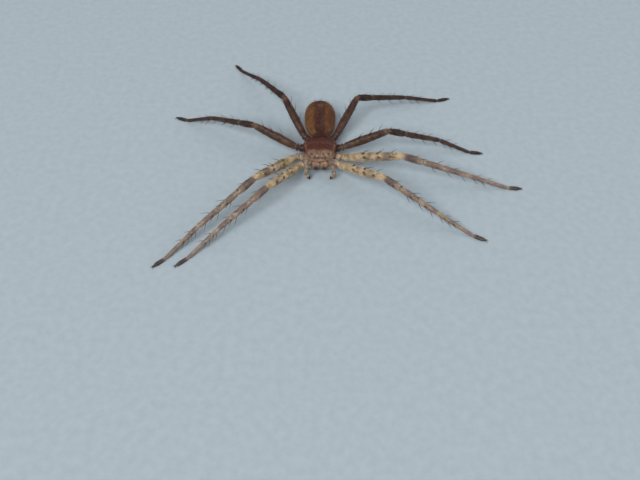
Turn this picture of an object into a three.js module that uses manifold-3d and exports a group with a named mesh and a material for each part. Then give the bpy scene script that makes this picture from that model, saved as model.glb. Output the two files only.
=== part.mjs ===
// A huntsman spider at life size, standing still on a flat floor.
// Units are millimetres, +Z is up, the head faces -Y, and R is the spider's own right side, at -X.
// Lengths are laid out from the middle of the carapace. At the end the whole is moved so that
// the origin is under the middle of the footprint, with the soles of the feet at z = 0.
import * as THREE from "three";
import { mergeVertices } from "three/addons/utils/BufferGeometryUtils.js";
import Module from "manifold-3d";

const wasm = await Module();
wasm.setup();

// Driving dimensions
const gap = 0.3; // between neighbouring pieces
const carapace = { long: 9.1, wide: 9.6, middle: -0.2, floor: 5.2, rise: 2.6 };
const sternum = { long: 6.4, wide: 4.9, middle: 0.45, bottom: 2.0 };
const abdomen = { long: 14.6, wide: 9, high: 6.8, front: 4.7, middle: 6.05, droop: 4.5, turn: 0 };
const chelicera = { top: 4.8, bottom: 2.4, half: 1.0, apart: 0.15, middle: -4.6 };
const coxaRing = { wide: 2.9, long: 4.2, middle: 0.5, height: 3.6 };
const coxa = { long: 4.2, rise: 0.3 };
const soleHeight = 0.4; // of the tarsus axis, less than its radius, so that its sole is flat
const limbSides = 10;
const spine = { base: 0.26, sides: 4, long: 2.2, sunk: 0.55, lean: 42, vary: 0.14 };
const claw = { base: 0.26, long: 1.3, spread: 0.35, dip: 0.12, apart: 0.13, forward: 0.05, clear: 0.1 };

const shades = {
  carapace: { color: 0x6b4a2c, roughness: 0.55 },
  sternum: { color: 0x8a6a42, roughness: 0.6 },
  abdomen: { color: 0x7d6540, roughness: 0.85 },
  leg: { color: 0x8f7547, roughness: 0.6 },
  foot: { color: 0x5e4632, roughness: 0.75 },
  chelicera: { color: 0x3d2417, roughness: 0.35 },
  fang: { color: 0x1d100b, roughness: 0.25 },
  eye: { color: 0x0c0a09, roughness: 0.12 },
};

const spider = new THREE.Group();
const vec = (x, y, z) => new THREE.Vector3(x, y, z);
const rad = THREE.MathUtils.degToRad;
const { clamp, seededRandom } = THREE.MathUtils;
seededRandom(17);
const jitter = (share) => 1 + share * (2 * seededRandom() - 1);

// Solids
// A closed geometry whose vertices are each moved by place(vertex).
function shaped(geometry, place) {
  const moved = geometry.clone();
  moved.deleteAttribute("normal");
  moved.deleteAttribute("uv");
  const at = moved.getAttribute("position");
  const v = new THREE.Vector3();
  for (let i = 0; i < at.count; i++) {
    v.fromBufferAttribute(at, i);
    const p = place(v);
    at.setXYZ(i, p.x, p.y, p.z);
  }
  return mergeVertices(moved, 1e-3);
}

// A solid with its faces turned out, whichever way the geometry was mirrored.
function solid(geometry) {
  const triVerts = new Uint32Array(geometry.index.array);
  const vertProperties = new Float32Array(geometry.getAttribute("position").array);
  const made = new wasm.Manifold(new wasm.Mesh({ numProp: 3, vertProperties, triVerts }));
  if (made.volume() > 0) return made;
  for (let i = 0; i < triVerts.length; i += 3) {
    [triVerts[i + 1], triVerts[i + 2]] = [triVerts[i + 2], triVerts[i + 1]];
  }
  return new wasm.Manifold(new wasm.Mesh({ numProp: 3, vertProperties, triVerts }));
}

const joined = (solids) => wasm.Manifold.union(solids);

// Adds one named mesh from a solid, keeping its largest closed surface.
function addNode(name, made, shade) {
  const body = made.decompose().reduce((a, b) => (a.volume() > b.volume() ? a : b));
  const mesh = body.getMesh();
  const at = new Float32Array(mesh.numVert * 3);
  for (let i = 0; i < mesh.numVert; i++) {
    at.set(mesh.vertProperties.subarray(i * mesh.numProp, i * mesh.numProp + 3), i * 3);
  }
  const geometry = new THREE.BufferGeometry();
  geometry.setAttribute("position", new THREE.BufferAttribute(at, 3));
  geometry.setIndex(new THREE.BufferAttribute(mesh.triVerts, 1));
  const node = new THREE.Mesh(geometry, new THREE.MeshStandardMaterial({ ...shade, metalness: 0 }));
  node.name = name;
  spider.add(node);
}

// A unit ball with its poles along Y, each vertex moved by place.
const ball = (around, along, place) =>
  solid(shaped(new THREE.SphereGeometry(1, around, along).rotateX(Math.PI / 2), place));

// A smooth curve through [place, value] pairs, read at t.
function curveAt(pairs, t) {
  const last = pairs.length - 1;
  let i = pairs.findIndex(([place]) => place > t) - 1;
  if (i < 0) i = t <= pairs[0][0] ? 0 : last - 1;
  const [t0, v0] = pairs[i];
  const [t1, v1] = pairs[i + 1];
  const slope = (k) => {
    const [a, b] = [pairs[Math.max(k - 1, 0)], pairs[Math.min(k + 1, last)]];
    return (b[1] - a[1]) / (b[0] - a[0]);
  };
  const s = clamp((t - t0) / (t1 - t0), 0, 1);
  const span = t1 - t0;
  const [s2, s3] = [s * s, s * s * s];
  const start = (2 * s3 - 3 * s2 + 1) * v0 + (s3 - 2 * s2 + s) * span * slope(i);
  return start + (3 * s2 - 2 * s3) * v1 + (s3 - s2) * span * slope(i + 1);
}

// Limbs
// One straight reach of a limb: yaw is degrees forward of straight out, rise its change of height.
function reach(side, yaw, rise, length) {
  const flat = Math.sqrt(length * length - rise * rise);
  return vec(side * flat * Math.cos(rad(yaw)), -flat * Math.sin(rad(yaw)), rise);
}

// The directions across a reach from a to b: towards its front flank, and towards its back.
function crossFrame(a, b, side) {
  const along = b.clone().sub(a).normalize();
  const front = vec(0, 0, 1).cross(along).multiplyScalar(-side).normalize();
  const back = along.clone().cross(front).multiplyScalar(-side).normalize();
  return { along, front, back };
}

// The normal of the plane that halves the bend after reach i.
function mitre(joints, i) {
  const before = joints[i + 1].clone().sub(joints[i]).normalize();
  const after = joints[i + 2].clone().sub(joints[i + 1]).normalize();
  return before.add(after).normalize();
}

// A station is a place along one reach of a limb, with the limb's half width and half height there.
const station = (of, at, wide, high) => ({ of, at, wide, high });

// A tube through stations, cut at both ends half a gap short of the planes with the given normals.
function tube(joints, stations, side, startNormal, endNormal, floor = -Infinity) {
  const steps = stations.length - 1;
  const stock = new THREE.CylinderGeometry(1, 1, steps, limbSides, steps);
  const place = (v) => {
    const row = Math.round(steps / 2 - v.y);
    const { of, at, wide, high } = stations[row];
    const { along, front, back } = crossFrame(joints[of], joints[of + 1], side);
    const centre = joints[of].clone().lerp(joints[of + 1], at);
    const p = centre.clone().addScaledVector(front, v.x * wide).addScaledVector(back, v.z * high);
    const bend = at === 1 && row < steps ? mitre(joints, of) : null;
    const cut = row === 0 ? startNormal : row === steps ? endNormal : bend;
    if (cut) {
      const short = row === 0 ? gap / 2 : row === steps ? -gap / 2 : 0;
      const target = centre.clone().addScaledVector(cut, short);
      p.addScaledVector(along, target.sub(p).dot(cut) / along.dot(cut));
    }
    p.z = Math.max(p.z, floor);
    return p;
  };
  return solid(shaped(stock, place));
}

// A point on a tube's skin: share along a reach, turn degrees round it from its back to its front.
function skinPoint(joints, stations, side, of, share, turn) {
  const own = stations.filter((s) => s.of === of);
  const { along, front, back } = crossFrame(joints[of], joints[of + 1], side);
  const wide = curveAt(own.map((s) => [s.at, s.wide]), share);
  const high = curveAt(own.map((s) => [s.at, s.high]), share);
  const point = joints[of]
    .clone()
    .lerp(joints[of + 1], share)
    .addScaledVector(front, wide * Math.sin(rad(turn)))
    .addScaledVector(back, high * Math.cos(rad(turn)));
  const out = front.multiplyScalar(Math.sin(rad(turn))).addScaledVector(back, Math.cos(rad(turn)));
  return { point, out, along };
}

// A stiff spine on a limb, leaning towards the limb's tip, with its root sunk in the flesh.
function spineSolid({ point, out, along }, size = 1) {
  const lean = rad(spine.lean * jitter(spine.vary));
  const long = spine.long * size * jitter(spine.vary);
  const way = out.clone().multiplyScalar(Math.cos(lean)).addScaledVector(along, Math.sin(lean));
  const cone = new THREE.ConeGeometry(spine.base, long + spine.sunk, spine.sides);
  const middle = point.clone().addScaledVector(way, (long - spine.sunk) / 2);
  const turned = new THREE.Quaternion().setFromUnitVectors(vec(0, 1, 0), way);
  return solid(shaped(cone, (v) => v.clone().applyQuaternion(turned).add(middle)));
}

// Spines in rows: each row holds how far round the limb it runs and the shares where spines stand.
function spineRows(joints, stations, side, of, rows) {
  return rows.flatMap(({ turn, shares, size }) =>
    shares.map((share) => spineSolid(skinPoint(joints, stations, side, of, share, turn), size)),
  );
}

const bothFlanks = (turn, shares, size) => [
  { turn, shares, size },
  { turn: -turn, shares, size },
];

// Legs
const legLengths = {
  1: { femur: 15.4, patella: 5.4, tibia: 11.6, metatarsus: 10.8, tarsus: 3.6, stout: 1.0 },
  2: { femur: 17.2, patella: 6.0, tibia: 13.6, metatarsus: 11.6, tarsus: 3.6, stout: 1.04 },
  3: { femur: 13.4, patella: 5.0, tibia: 10.8, metatarsus: 9.8, tarsus: 3.4, stout: 0.95 },
  4: { femur: 13.6, patella: 4.8, tibia: 12.0, metatarsus: 11.6, tarsus: 3.6, stout: 0.95 },
};

// Where each pair of legs leaves the sternum, in degrees round it from the front, and its yaw.
const coxae = {
  1: { round: 45, yaw: 35 },
  2: { round: 72, yaw: 14 },
  3: { round: 104, yaw: -12 },
  4: { round: 138, yaw: -50 },
};

// The pose: each reach's degrees forward of straight out, and the heights of knee and ankle.
const pose = {
  R1: { femur: 56, tibia: 40, metatarsus: 41, knee: 8.6, ankle: 4.0 },
  R2: { femur: 50, tibia: 41.5, metatarsus: 42.5, knee: 9.0, ankle: 4.2 },
  R3: { femur: -19, tibia: -30, metatarsus: -20, knee: 8.4, ankle: 4.2 },
  R4: { femur: -62, tibia: -60, metatarsus: -52, knee: 8.8, ankle: 4.0 },
  L1: { femur: 38, tibia: 31, metatarsus: 27, knee: 8.6, ankle: 4.0 },
  L2: { femur: 16, tibia: 9, metatarsus: 5, knee: 9.0, ankle: 4.2 },
  L3: { femur: -8, tibia: -3, metatarsus: 8, knee: 8.4, ankle: 4.0 },
  L4: { femur: -60, tibia: -21, metatarsus: -14, knee: 8.8, ankle: 4.0 },
};

const sideOf = (name) => (name[0] === "R" ? -1 : 1);

// A leg's joints, from its root at the sternum to the tip of its tarsus.
function legJoints(name) {
  const side = sideOf(name);
  const size = legLengths[name[1]];
  const { round, yaw } = coxae[name[1]];
  const set = pose[name];
  const x = side * coxaRing.wide * Math.sin(rad(round));
  const y = coxaRing.middle - coxaRing.long * Math.cos(rad(round));
  const root = vec(x, y, coxaRing.height);
  const hip = root.clone().add(reach(side, yaw, coxa.rise, coxa.long));
  const knee = hip.clone().add(reach(side, set.femur, set.knee - hip.z, size.femur));
  const shin = size.patella + size.tibia;
  const ankle = knee.clone().add(reach(side, set.tibia, set.ankle - knee.z, shin));
  const drop = soleHeight - ankle.z;
  const heel = ankle.clone().add(reach(side, set.metatarsus, drop, size.metatarsus));
  const toe = heel.clone().add(reach(side, set.metatarsus, 0, size.tarsus));
  return [root, hip, knee, ankle, heel, toe];
}

// Coxa and trochanter: a short barrel with a waist before its rim.
function coxaSolid(joints, side, fat) {
  const stations = [
    station(0, 0, 0.7 * fat, 0.96),
    station(0, 0.2, 0.88 * fat, 1.04),
    station(0, 0.6, 1.1 * fat, 1.08),
    station(0, 0.76, 0.92 * fat, 0.94),
    station(0, 1, 0.96 * fat, 1.0),
  ];
  const rootCut = joints[1].clone().sub(joints[0]).normalize();
  return tube(joints, stations, side, rootCut, mitre(joints, 0));
}

// Femur: the stoutest segment, flattened at its flanks, with spines on its back and flanks.
function femurSolid(joints, side, fat) {
  const stations = [
    station(1, 0, 0.92 * fat, 0.96 * fat),
    station(1, 0.14, 1.08 * fat, 1.22 * fat),
    station(1, 0.4, 1.18 * fat, 1.34 * fat),
    station(1, 0.7, 1.08 * fat, 1.18 * fat),
    station(1, 0.88, 0.98 * fat, 1.02 * fat),
    station(1, 1, 0.84 * fat, 0.88 * fat),
  ];
  const flesh = tube(joints, stations, side, mitre(joints, 0), mitre(joints, 1));
  const rows = [
    { turn: 0, shares: [0.34, 0.58] },
    ...bothFlanks(58, [0.36, 0.6, 0.8]),
  ];
  return joined([flesh, ...spineRows(joints, stations, side, 1, rows)]);
}

// Patella and tibia in one line, with a waist between them.
function tibiaSolid(joints, side, fat, size) {
  const knee = size.patella / (size.patella + size.tibia);
  const shin = (share) => knee + (1 - knee) * share;
  const stations = [
    station(2, 0, 0.82 * fat, 0.86 * fat),
    station(2, 0.5 * knee, 0.96 * fat, 1.0 * fat),
    station(2, 0.86 * knee, 0.88 * fat, 0.9 * fat),
    station(2, knee, 0.72 * fat, 0.72 * fat),
    station(2, shin(0.12), 0.84 * fat, 0.82 * fat),
    station(2, shin(0.55), 0.76 * fat, 0.74 * fat),
    station(2, shin(0.9), 0.7 * fat, 0.68 * fat),
    station(2, 1, 0.6 * fat, 0.6 * fat),
  ];
  const flesh = tube(joints, stations, side, mitre(joints, 1), mitre(joints, 2));
  const rows = [
    ...bothFlanks(78, [0.55 * knee], 0.85),
    { turn: 0, shares: [shin(0.42)], size: 0.85 },
    ...bothFlanks(72, [shin(0.28), shin(0.66)]),
    ...bothFlanks(148, [shin(0.2), shin(0.52)]),
  ];
  return joined([flesh, ...spineRows(joints, stations, side, 2, rows)]);
}

// A hooked claw at the end of a tarsus, set to one hand of its axis.
function clawSolid(joints, side, hand) {
  const { along, front, back } = crossFrame(joints[4], joints[5], side);
  const way = along.clone().addScaledVector(front, claw.spread * hand);
  way.addScaledVector(back, -claw.dip).normalize();
  const turned = new THREE.Quaternion().setFromUnitVectors(vec(0, 1, 0), way);
  const cone = new THREE.ConeGeometry(claw.base, claw.long, 5);
  const middle = joints[5].clone().addScaledVector(way, claw.forward);
  middle.addScaledVector(front, claw.apart * hand);
  const place = (v) => {
    const p = v.clone().applyQuaternion(turned).add(middle);
    p.z = Math.max(p.z, claw.clear);
    return p;
  };
  return solid(shaped(cone, place));
}

// Metatarsus, and tarsus with its sole flat on the floor, two claws and pairs of spines.
function footSolid(joints, side, fat) {
  const stations = [
    station(3, 0, 0.6 * fat, 0.6 * fat),
    station(3, 0.1, 0.66 * fat, 0.65 * fat),
    station(3, 0.6, 0.56 * fat, 0.55 * fat),
    station(3, 0.93, 0.52 * fat, 0.52 * fat),
    station(3, 1, 0.48 * fat, 0.5 * fat),
    station(4, 0.35, 0.58 * fat, 0.54 * fat),
    station(4, 0.8, 0.54 * fat, 0.5 * fat),
    station(4, 1, 0.28 * fat, 0.28 * fat),
  ];
  const toeCut = joints[5].clone().sub(joints[4]).normalize();
  const flesh = tube(joints, stations, side, mitre(joints, 2), toeCut, 0);
  const rows = [
    ...bothFlanks(76, [0.2, 0.46], 0.85),
    ...bothFlanks(128, [0.12, 0.34], 0.8),
  ];
  const spines = spineRows(joints, stations, side, 3, rows);
  const claws = [-1, 1].map((hand) => clawSolid(joints, side, hand));
  return joined([flesh, ...spines, ...claws]);
}

function addLeg(name) {
  const side = sideOf(name);
  const size = legLengths[name[1]];
  const joints = legJoints(name);
  addNode(`leg_${name}_coxa`, coxaSolid(joints, side, size.stout), shades.leg);
  addNode(`leg_${name}_femur`, femurSolid(joints, side, size.stout), shades.leg);
  addNode(`leg_${name}_tibia`, tibiaSolid(joints, side, size.stout, size), shades.leg);
  addNode(`leg_${name}_foot`, footSolid(joints, side, size.stout), shades.foot);
}

// Carapace
// Shares of its full half width and of its full rise, at shares of its length from the front edge.
const carapaceWidths = [
  [0, 0.5],
  [0.08, 0.66],
  [0.16, 0.78],
  [0.3, 0.89],
  [0.45, 0.97],
  [0.6, 1],
  [0.78, 0.93],
  [0.92, 0.68],
  [1, 0.5],
];
const carapaceRises = [
  [0, 0.6],
  [0.1, 0.82],
  [0.3, 0.95],
  [0.55, 1],
  [0.75, 0.9],
  [0.92, 0.6],
  [1, 0.42],
];
const bluntEnds = 8; // the higher, the squarer the carapace's front and rear edges from above
const crown = 0.42; // the lower, the flatter its top and the steeper its sides

// The carapace's half width and rise at y, drawn in to a blunt end at both poles.
function carapaceSection(y) {
  const share = (y - carapace.middle) / carapace.long + 0.5;
  const u = clamp(2 * share - 1, -1, 1);
  const close = Math.sqrt(1 - Math.pow(u, bluntEnds));
  const wide = 0.5 * carapace.wide * close * curveAt(carapaceWidths, share);
  return { wide, rise: carapace.rise * close * curveAt(carapaceRises, share) };
}

// The height of the carapace's top surface over a point.
function carapaceTop(x, y) {
  const { wide, rise } = carapaceSection(y);
  const c = clamp(Math.abs(x) / wide, 0, 1);
  return carapace.floor + rise * Math.pow(1 - c * c, crown);
}

function carapaceSolid() {
  return ball(26, 14, (v) => {
    const y = carapace.middle + 0.5 * carapace.long * v.y;
    const { wide, rise } = carapaceSection(y);
    const c = v.x / (Math.hypot(v.x, v.z) || 1);
    const lift = v.z > 1e-6 ? rise * Math.pow(1 - c * c, crown) : 0;
    return vec(wide * c, y, carapace.floor + lift);
  });
}

// The eight eyes in two rows on the front of the head, each with its place and radius.
const eyes = {
  front_inner: { x: 0.52, y: -4.44, r: 0.23 },
  front_outer: { x: 1.5, y: -4.28, r: 0.31 },
  rear_inner: { x: 0.76, y: -3.65, r: 0.22 },
  rear_outer: { x: 2.3, y: -3.4, r: 0.31 },
};
const eyeGap = 0.1; // a full gap would be wider than the eye's own rim
const eyeSunk = 0.15; // share of its radius by which an eye's centre lies under the surface

// The point where an eye's centre lies, just under the surface along its normal.
function eyeCentre({ x, y, r }, side) {
  const step = 0.15;
  const slopeX = (carapaceTop(x + step, y) - carapaceTop(x - step, y)) / (2 * step);
  const slopeY = (carapaceTop(x, y + step) - carapaceTop(x, y - step)) / (2 * step);
  const normal = vec(-side * slopeX, -slopeY, 1).normalize();
  return vec(side * x, y, carapaceTop(x, y)).addScaledVector(normal, -eyeSunk * r);
}

function eyeBall(eye, side, swell) {
  const centre = eyeCentre(eye, side);
  return ball(8, 6, (v) => centre.clone().addScaledVector(v, eye.r + swell));
}

function addHead() {
  const sockets = [];
  for (const [name, eye] of Object.entries(eyes)) {
    for (const side of [-1, 1]) {
      sockets.push(eyeBall(eye, side, eyeGap));
      addNode(`eye_${side < 0 ? "R" : "L"}_${name}`, eyeBall(eye, side, 0), shades.eye);
    }
  }
  addNode("carapace", carapaceSolid().subtract(joined(sockets)), shades.carapace);
}

// Mouthparts
// A limb of round sections through points, each point with its half width and half height.
function lobe(points, sides = 10) {
  const steps = points.length - 1;
  const stock = new THREE.CylinderGeometry(1, 1, steps, sides, steps);
  const place = (v) => {
    const row = Math.round(steps / 2 - v.y);
    const { at, wide, high } = points[row];
    const before = points[Math.max(row - 1, 0)].at;
    const after = points[Math.min(row + 1, steps)].at;
    const along = after.clone().sub(before).normalize();
    const across = vec(1, 0, 0).addScaledVector(along, -along.x).normalize();
    const third = along.clone().cross(across);
    return at.clone().addScaledVector(across, v.x * wide).addScaledVector(third, v.z * high);
  };
  return solid(shaped(stock, place));
}

const knot = (x, y, z, wide, high = wide) => ({ at: vec(x, y, z), wide, high });

// One jaw: a stout egg that bulges before the face and narrows down to its fang.
function cheliceraSolid(side) {
  const x = side * (chelicera.apart + chelicera.half);
  const { top, bottom, half, middle } = chelicera;
  const at = (share) => top + (bottom - top) * share;
  return lobe(
    [
      knot(x, middle + 0.1, at(0), 0.74 * half, 0.5),
      knot(x, middle + 0.02, at(0.14), 0.94 * half, 0.7),
      knot(x, middle, at(0.4), half, 0.78),
      knot(x, middle + 0.1, at(0.72), 0.9 * half, 0.7),
      knot(x - side * 0.04, middle + 0.24, at(0.94), 0.7 * half, 0.52),
      knot(x - side * 0.06, middle + 0.3, at(1), 0.42 * half, 0.34),
    ],
    12,
  );
}

// A fang, folded in towards its neighbour under the jaw.
function fangSolid(side) {
  const x = side * (chelicera.apart + chelicera.half);
  const y = chelicera.middle + 0.3;
  const z = chelicera.bottom - 1.3 * gap;
  return lobe(
    [
      knot(x - side * 0.05, y, z, 0.3),
      knot(x - side * 0.08, y + 0.02, z - 0.26, 0.27),
      knot(x - side * 0.25, y + 0.14, z - 0.56, 0.2),
      knot(x - side * 0.5, y + 0.32, z - 0.72, 0.08),
    ],
    8,
  );
}

// A palp's joints: its root on the maxilla, both ends of its patella, its wrist and its tip.
const palpJoints = (side) => [
  vec(side * 2.75, -5.15, 3.45),
  vec(side * 3.6, -6.1, 4.6),
  vec(side * 3.95, -6.9, 4.4),
  vec(side * 3.75, -7.3, 2.6),
  vec(side * 3.0, -6.9, 0.7),
];

function palpArmSolid(side) {
  const joints = palpJoints(side);
  const stations = [
    station(0, 0, 0.34, 0.36),
    station(0, 0.3, 0.46, 0.5),
    station(0, 0.7, 0.48, 0.52),
    station(0, 1, 0.44, 0.46),
    station(1, 1, 0.46, 0.48),
    station(2, 0.5, 0.5, 0.54),
    station(2, 1, 0.42, 0.44),
  ];
  const rootCut = joints[1].clone().sub(joints[0]).normalize();
  const flesh = tube(joints, stations, side, rootCut, mitre(joints, 2));
  const thigh = spineRows(joints, stations, side, 0, [{ turn: 0, shares: [0.5], size: 0.5 }]);
  const shin = spineRows(joints, stations, side, 2, bothFlanks(70, [0.5], 0.5));
  return joined([flesh, ...thigh, ...shin]);
}

function palpTipSolid(side) {
  const joints = palpJoints(side);
  const stations = [
    station(3, 0, 0.42, 0.44),
    station(3, 0.3, 0.52, 0.54),
    station(3, 0.75, 0.44, 0.46),
    station(3, 1, 0.2, 0.2),
  ];
  const endCut = joints[4].clone().sub(joints[3]).normalize();
  return tube(joints, stations, side, mitre(joints, 2), endCut);
}

// A maxilla: a lobe beside the mouth, with the neck that carries the palp.
function maxillaSolid(side) {
  const blade = lobe([
    knot(side * 1.0, -2.75, 2.3, 0.34, 0.36),
    knot(side * 1.0, -2.98, 2.26, 0.44, 0.42),
    knot(side * 0.96, -3.25, 2.2, 0.42, 0.36),
    knot(side * 0.85, -3.45, 2.1, 0.26, 0.22),
  ]);
  const root = palpJoints(side)[0];
  const neck = lobe(
    [
      knot(side * 1.15, -3.05, 2.35, 0.22, 0.24),
      knot(side * 1.84, -3.48, 2.42, 0.23, 0.23),
      knot(side * 2.56, -4.3, 2.5, 0.24, 0.24),
      knot(root.x - side * 0.09, root.y + 0.12, root.z - 0.19, 0.26, 0.3),
    ],
    8,
  );
  return joined([blade, neck]);
}

function labiumSolid() {
  return lobe([
    knot(0, -2.85, 2.65, 0.34, 0.36),
    knot(0, -3.1, 2.6, 0.36, 0.38),
    knot(0, -3.4, 2.55, 0.28, 0.3),
  ]);
}

function addMouthparts() {
  for (const side of [-1, 1]) {
    const hand = side < 0 ? "R" : "L";
    addNode(`chelicera_${hand}`, cheliceraSolid(side), shades.chelicera);
    addNode(`fang_${hand}`, fangSolid(side), shades.fang);
    addNode(`palp_${hand}_arm`, palpArmSolid(side), shades.leg);
    addNode(`palp_${hand}_tip`, palpTipSolid(side), shades.foot);
    addNode(`maxilla_${hand}`, maxillaSolid(side), shades.sternum);
  }
  addNode("labium", labiumSolid(), shades.sternum);
}

// Trunk
// The breastplate and what lies over it, up to just under the carapace.
function sternumSolid() {
  const high = carapace.floor - gap - sternum.bottom;
  return ball(16, 8, (v) => {
    const heart = 1 - 0.1 * v.y;
    const lift = v.z > 0 ? 0.55 * high * Math.pow(v.z, 0.5) : 0.45 * high * v.z;
    return vec(
      0.5 * sternum.wide * v.x * heart,
      sternum.middle + 0.5 * sternum.long * v.y,
      sternum.bottom + 0.45 * high + lift,
    );
  });
}

// The narrow waist between sternum and abdomen.
const pedicelSolid = () =>
  lobe([
    knot(0, sternum.middle + 0.5 * sternum.long + 0.1, 4.15, 0.5, 0.46),
    knot(0, 4.1, 4.2, 0.56, 0.46),
    knot(0, abdomen.front - 0.3, 4.3, 0.52, 0.44),
  ]);

// Places a point of the abdomen, given along its own axis, with its droop and its turn.
function placeAbdomen(p) {
  const turned = p.clone().applyAxisAngle(vec(1, 0, 0), -rad(abdomen.droop));
  turned.applyAxisAngle(vec(0, 0, 1), rad(abdomen.turn));
  return turned.add(vec(0, abdomen.front, abdomen.middle));
}

// An egg, blunter before than behind and widest behind its middle.
function abdomenSolid() {
  return ball(24, 16, (v) => {
    const round = Math.hypot(v.x, v.z) || 1;
    const blunt = v.y < 0 ? 3.1 : 2.1;
    const girth = Math.pow(1 - Math.pow(Math.abs(v.y), blunt), 1 / blunt) * (1 + 0.1 * v.y);
    const x = (0.5 * abdomen.wide * girth * v.x * (1 + (0.08 * v.z) / round)) / round;
    const z = (0.5 * abdomen.high * girth * v.z) / round;
    return placeAbdomen(vec(x, 0.5 * abdomen.long * (1 + v.y), z));
  });
}

// Three pairs of short spinnerets in a cluster behind the abdomen.
function spinneretsSolid() {
  const root = abdomen.long - 0.25;
  const mound = lobe(
    [0, 0.35, 0.7].map((along, i) => {
      const at = placeAbdomen(vec(0, root + gap + along + 0.25, -0.55));
      return { at, wide: [0.85, 0.75, 0.5][i], high: [0.7, 0.62, 0.42][i] };
    }),
  );
  const pairs = [
    { x: 0.42, z: -0.85, wide: 0.36, long: 1.5 },
    { x: 0.22, z: -0.55, wide: 0.26, long: 1.1 },
    { x: 0.5, z: -0.25, wide: 0.3, long: 1.6 },
  ];
  const cones = pairs.flatMap(({ x, z, wide, long }) =>
    [-1, 1].map((side) => {
      const start = placeAbdomen(vec(side * x * 0.8, root + 0.8, z));
      const middle = placeAbdomen(vec(side * x * 1.1, root + 0.6 + 0.7 * long, z * 1.05));
      const end = placeAbdomen(vec(side * x * 1.15, root + 0.6 + long, z * 1.05));
      return lobe(
        [
          { at: start, wide, high: wide },
          { at: middle, wide: 0.85 * wide, high: 0.85 * wide },
          { at: end, wide: 0.3 * wide, high: 0.3 * wide },
        ],
        6,
      );
    }),
  );
  return joined([mound, ...cones]);
}

function addTrunk() {
  addNode("sternum", sternumSolid(), shades.sternum);
  addNode("pedicel", pedicelSolid(), shades.sternum);
  addNode("abdomen", abdomenSolid(), shades.abdomen);
  addNode("spinnerets", spinneretsSolid(), shades.abdomen);
}

addTrunk();
addHead();
addMouthparts();
for (const name of Object.keys(pose)) addLeg(name);

// The origin goes under the middle of the footprint.
const box = new THREE.Box3().setFromObject(spider);
const middle = box.getCenter(vec(0, 0, 0));
spider.position.set(-middle.x, -middle.y, -box.min.z);

export default spider;
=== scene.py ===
# %% [markdown]
# # A huntsman spider, life size
# A huntsman is a large, flat spider that waits with its legs spread out sideways like a crab's.
# The solids give each piece its place and size. This lesson lays a skin inside them, sets the
# eyes, fangs, claws and spines in it, and grows a coat of short hair over it all.

# %% Load the solids as a fixed frame
import itertools
import math

import bpy
import numpy as np
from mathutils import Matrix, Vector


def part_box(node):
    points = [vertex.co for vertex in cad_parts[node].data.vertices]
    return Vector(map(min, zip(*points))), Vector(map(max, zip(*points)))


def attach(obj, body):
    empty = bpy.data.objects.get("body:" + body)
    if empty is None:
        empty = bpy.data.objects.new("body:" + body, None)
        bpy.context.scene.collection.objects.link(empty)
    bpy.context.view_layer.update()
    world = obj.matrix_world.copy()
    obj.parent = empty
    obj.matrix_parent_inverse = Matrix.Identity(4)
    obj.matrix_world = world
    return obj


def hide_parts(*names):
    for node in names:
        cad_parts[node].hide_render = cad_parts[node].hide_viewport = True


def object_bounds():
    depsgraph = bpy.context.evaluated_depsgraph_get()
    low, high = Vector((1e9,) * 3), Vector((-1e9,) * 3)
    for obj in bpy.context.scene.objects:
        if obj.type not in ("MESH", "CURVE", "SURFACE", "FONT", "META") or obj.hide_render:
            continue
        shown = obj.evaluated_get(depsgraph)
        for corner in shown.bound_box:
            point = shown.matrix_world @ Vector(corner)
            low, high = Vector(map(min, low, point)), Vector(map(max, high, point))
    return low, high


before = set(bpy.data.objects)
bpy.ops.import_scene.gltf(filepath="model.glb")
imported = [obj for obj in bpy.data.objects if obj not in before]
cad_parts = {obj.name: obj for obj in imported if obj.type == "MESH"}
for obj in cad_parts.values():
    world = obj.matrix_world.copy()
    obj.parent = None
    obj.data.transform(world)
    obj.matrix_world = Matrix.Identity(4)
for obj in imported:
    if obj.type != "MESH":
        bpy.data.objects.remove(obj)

CAD_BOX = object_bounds()
MM = 0.001
print("solids:", len(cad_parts), "box", [round(v / MM, 1) for v in CAD_BOX[1] - CAD_BOX[0]])

# %% [markdown]
# ## Units and the place of the body
# Lengths are written in millimetres from the middle of the back plate, because that is how a
# person would measure a spider. Blender works in metres, so one function moves points to their
# place. The solid of the back plate tells where its middle is.

# %% Units and place
PLATE_LONG, PLATE_WIDE, PLATE_FLOOR, PLATE_RISE, PLATE_MIDDLE = 9.1, 9.6, 5.2, 2.6, -0.2
SKIN_CLEAR, HAIR_CLEAR = 0.03, 0.02  # how far skin and hair stay off the floor
HAIR_OVER = 0.15  # how far hair and spines may rise over the highest solid
plate_low, plate_high = (np.array(corner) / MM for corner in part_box("carapace"))
ORIGIN = (plate_low + plate_high) / 2 - [0, PLATE_MIDDLE, 0]
ORIGIN[2] = plate_low[2] - PLATE_FLOOR
CEILING = CAD_BOX[1][2] / MM + HAIR_OVER - ORIGIN[2]
SIDES = (("R", -1), ("L", 1))  # the spider's own right and left, and their signs along X


def placed(points):
    """Millimetres from the middle of the back plate to metres in the frame."""
    return (np.asarray(points, float) + ORIGIN) * MM


print("middle of the back plate at", placed([0, 0, 0]).round(4))

# %% [markdown]
# ## Camera
# The spider is seen from in front and above, face on. A camera could be set by eye. This one was
# worked out instead: a point on the back plate lies at a known pixel, and the lens and the dip
# were found from how the legs run in the picture.

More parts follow.
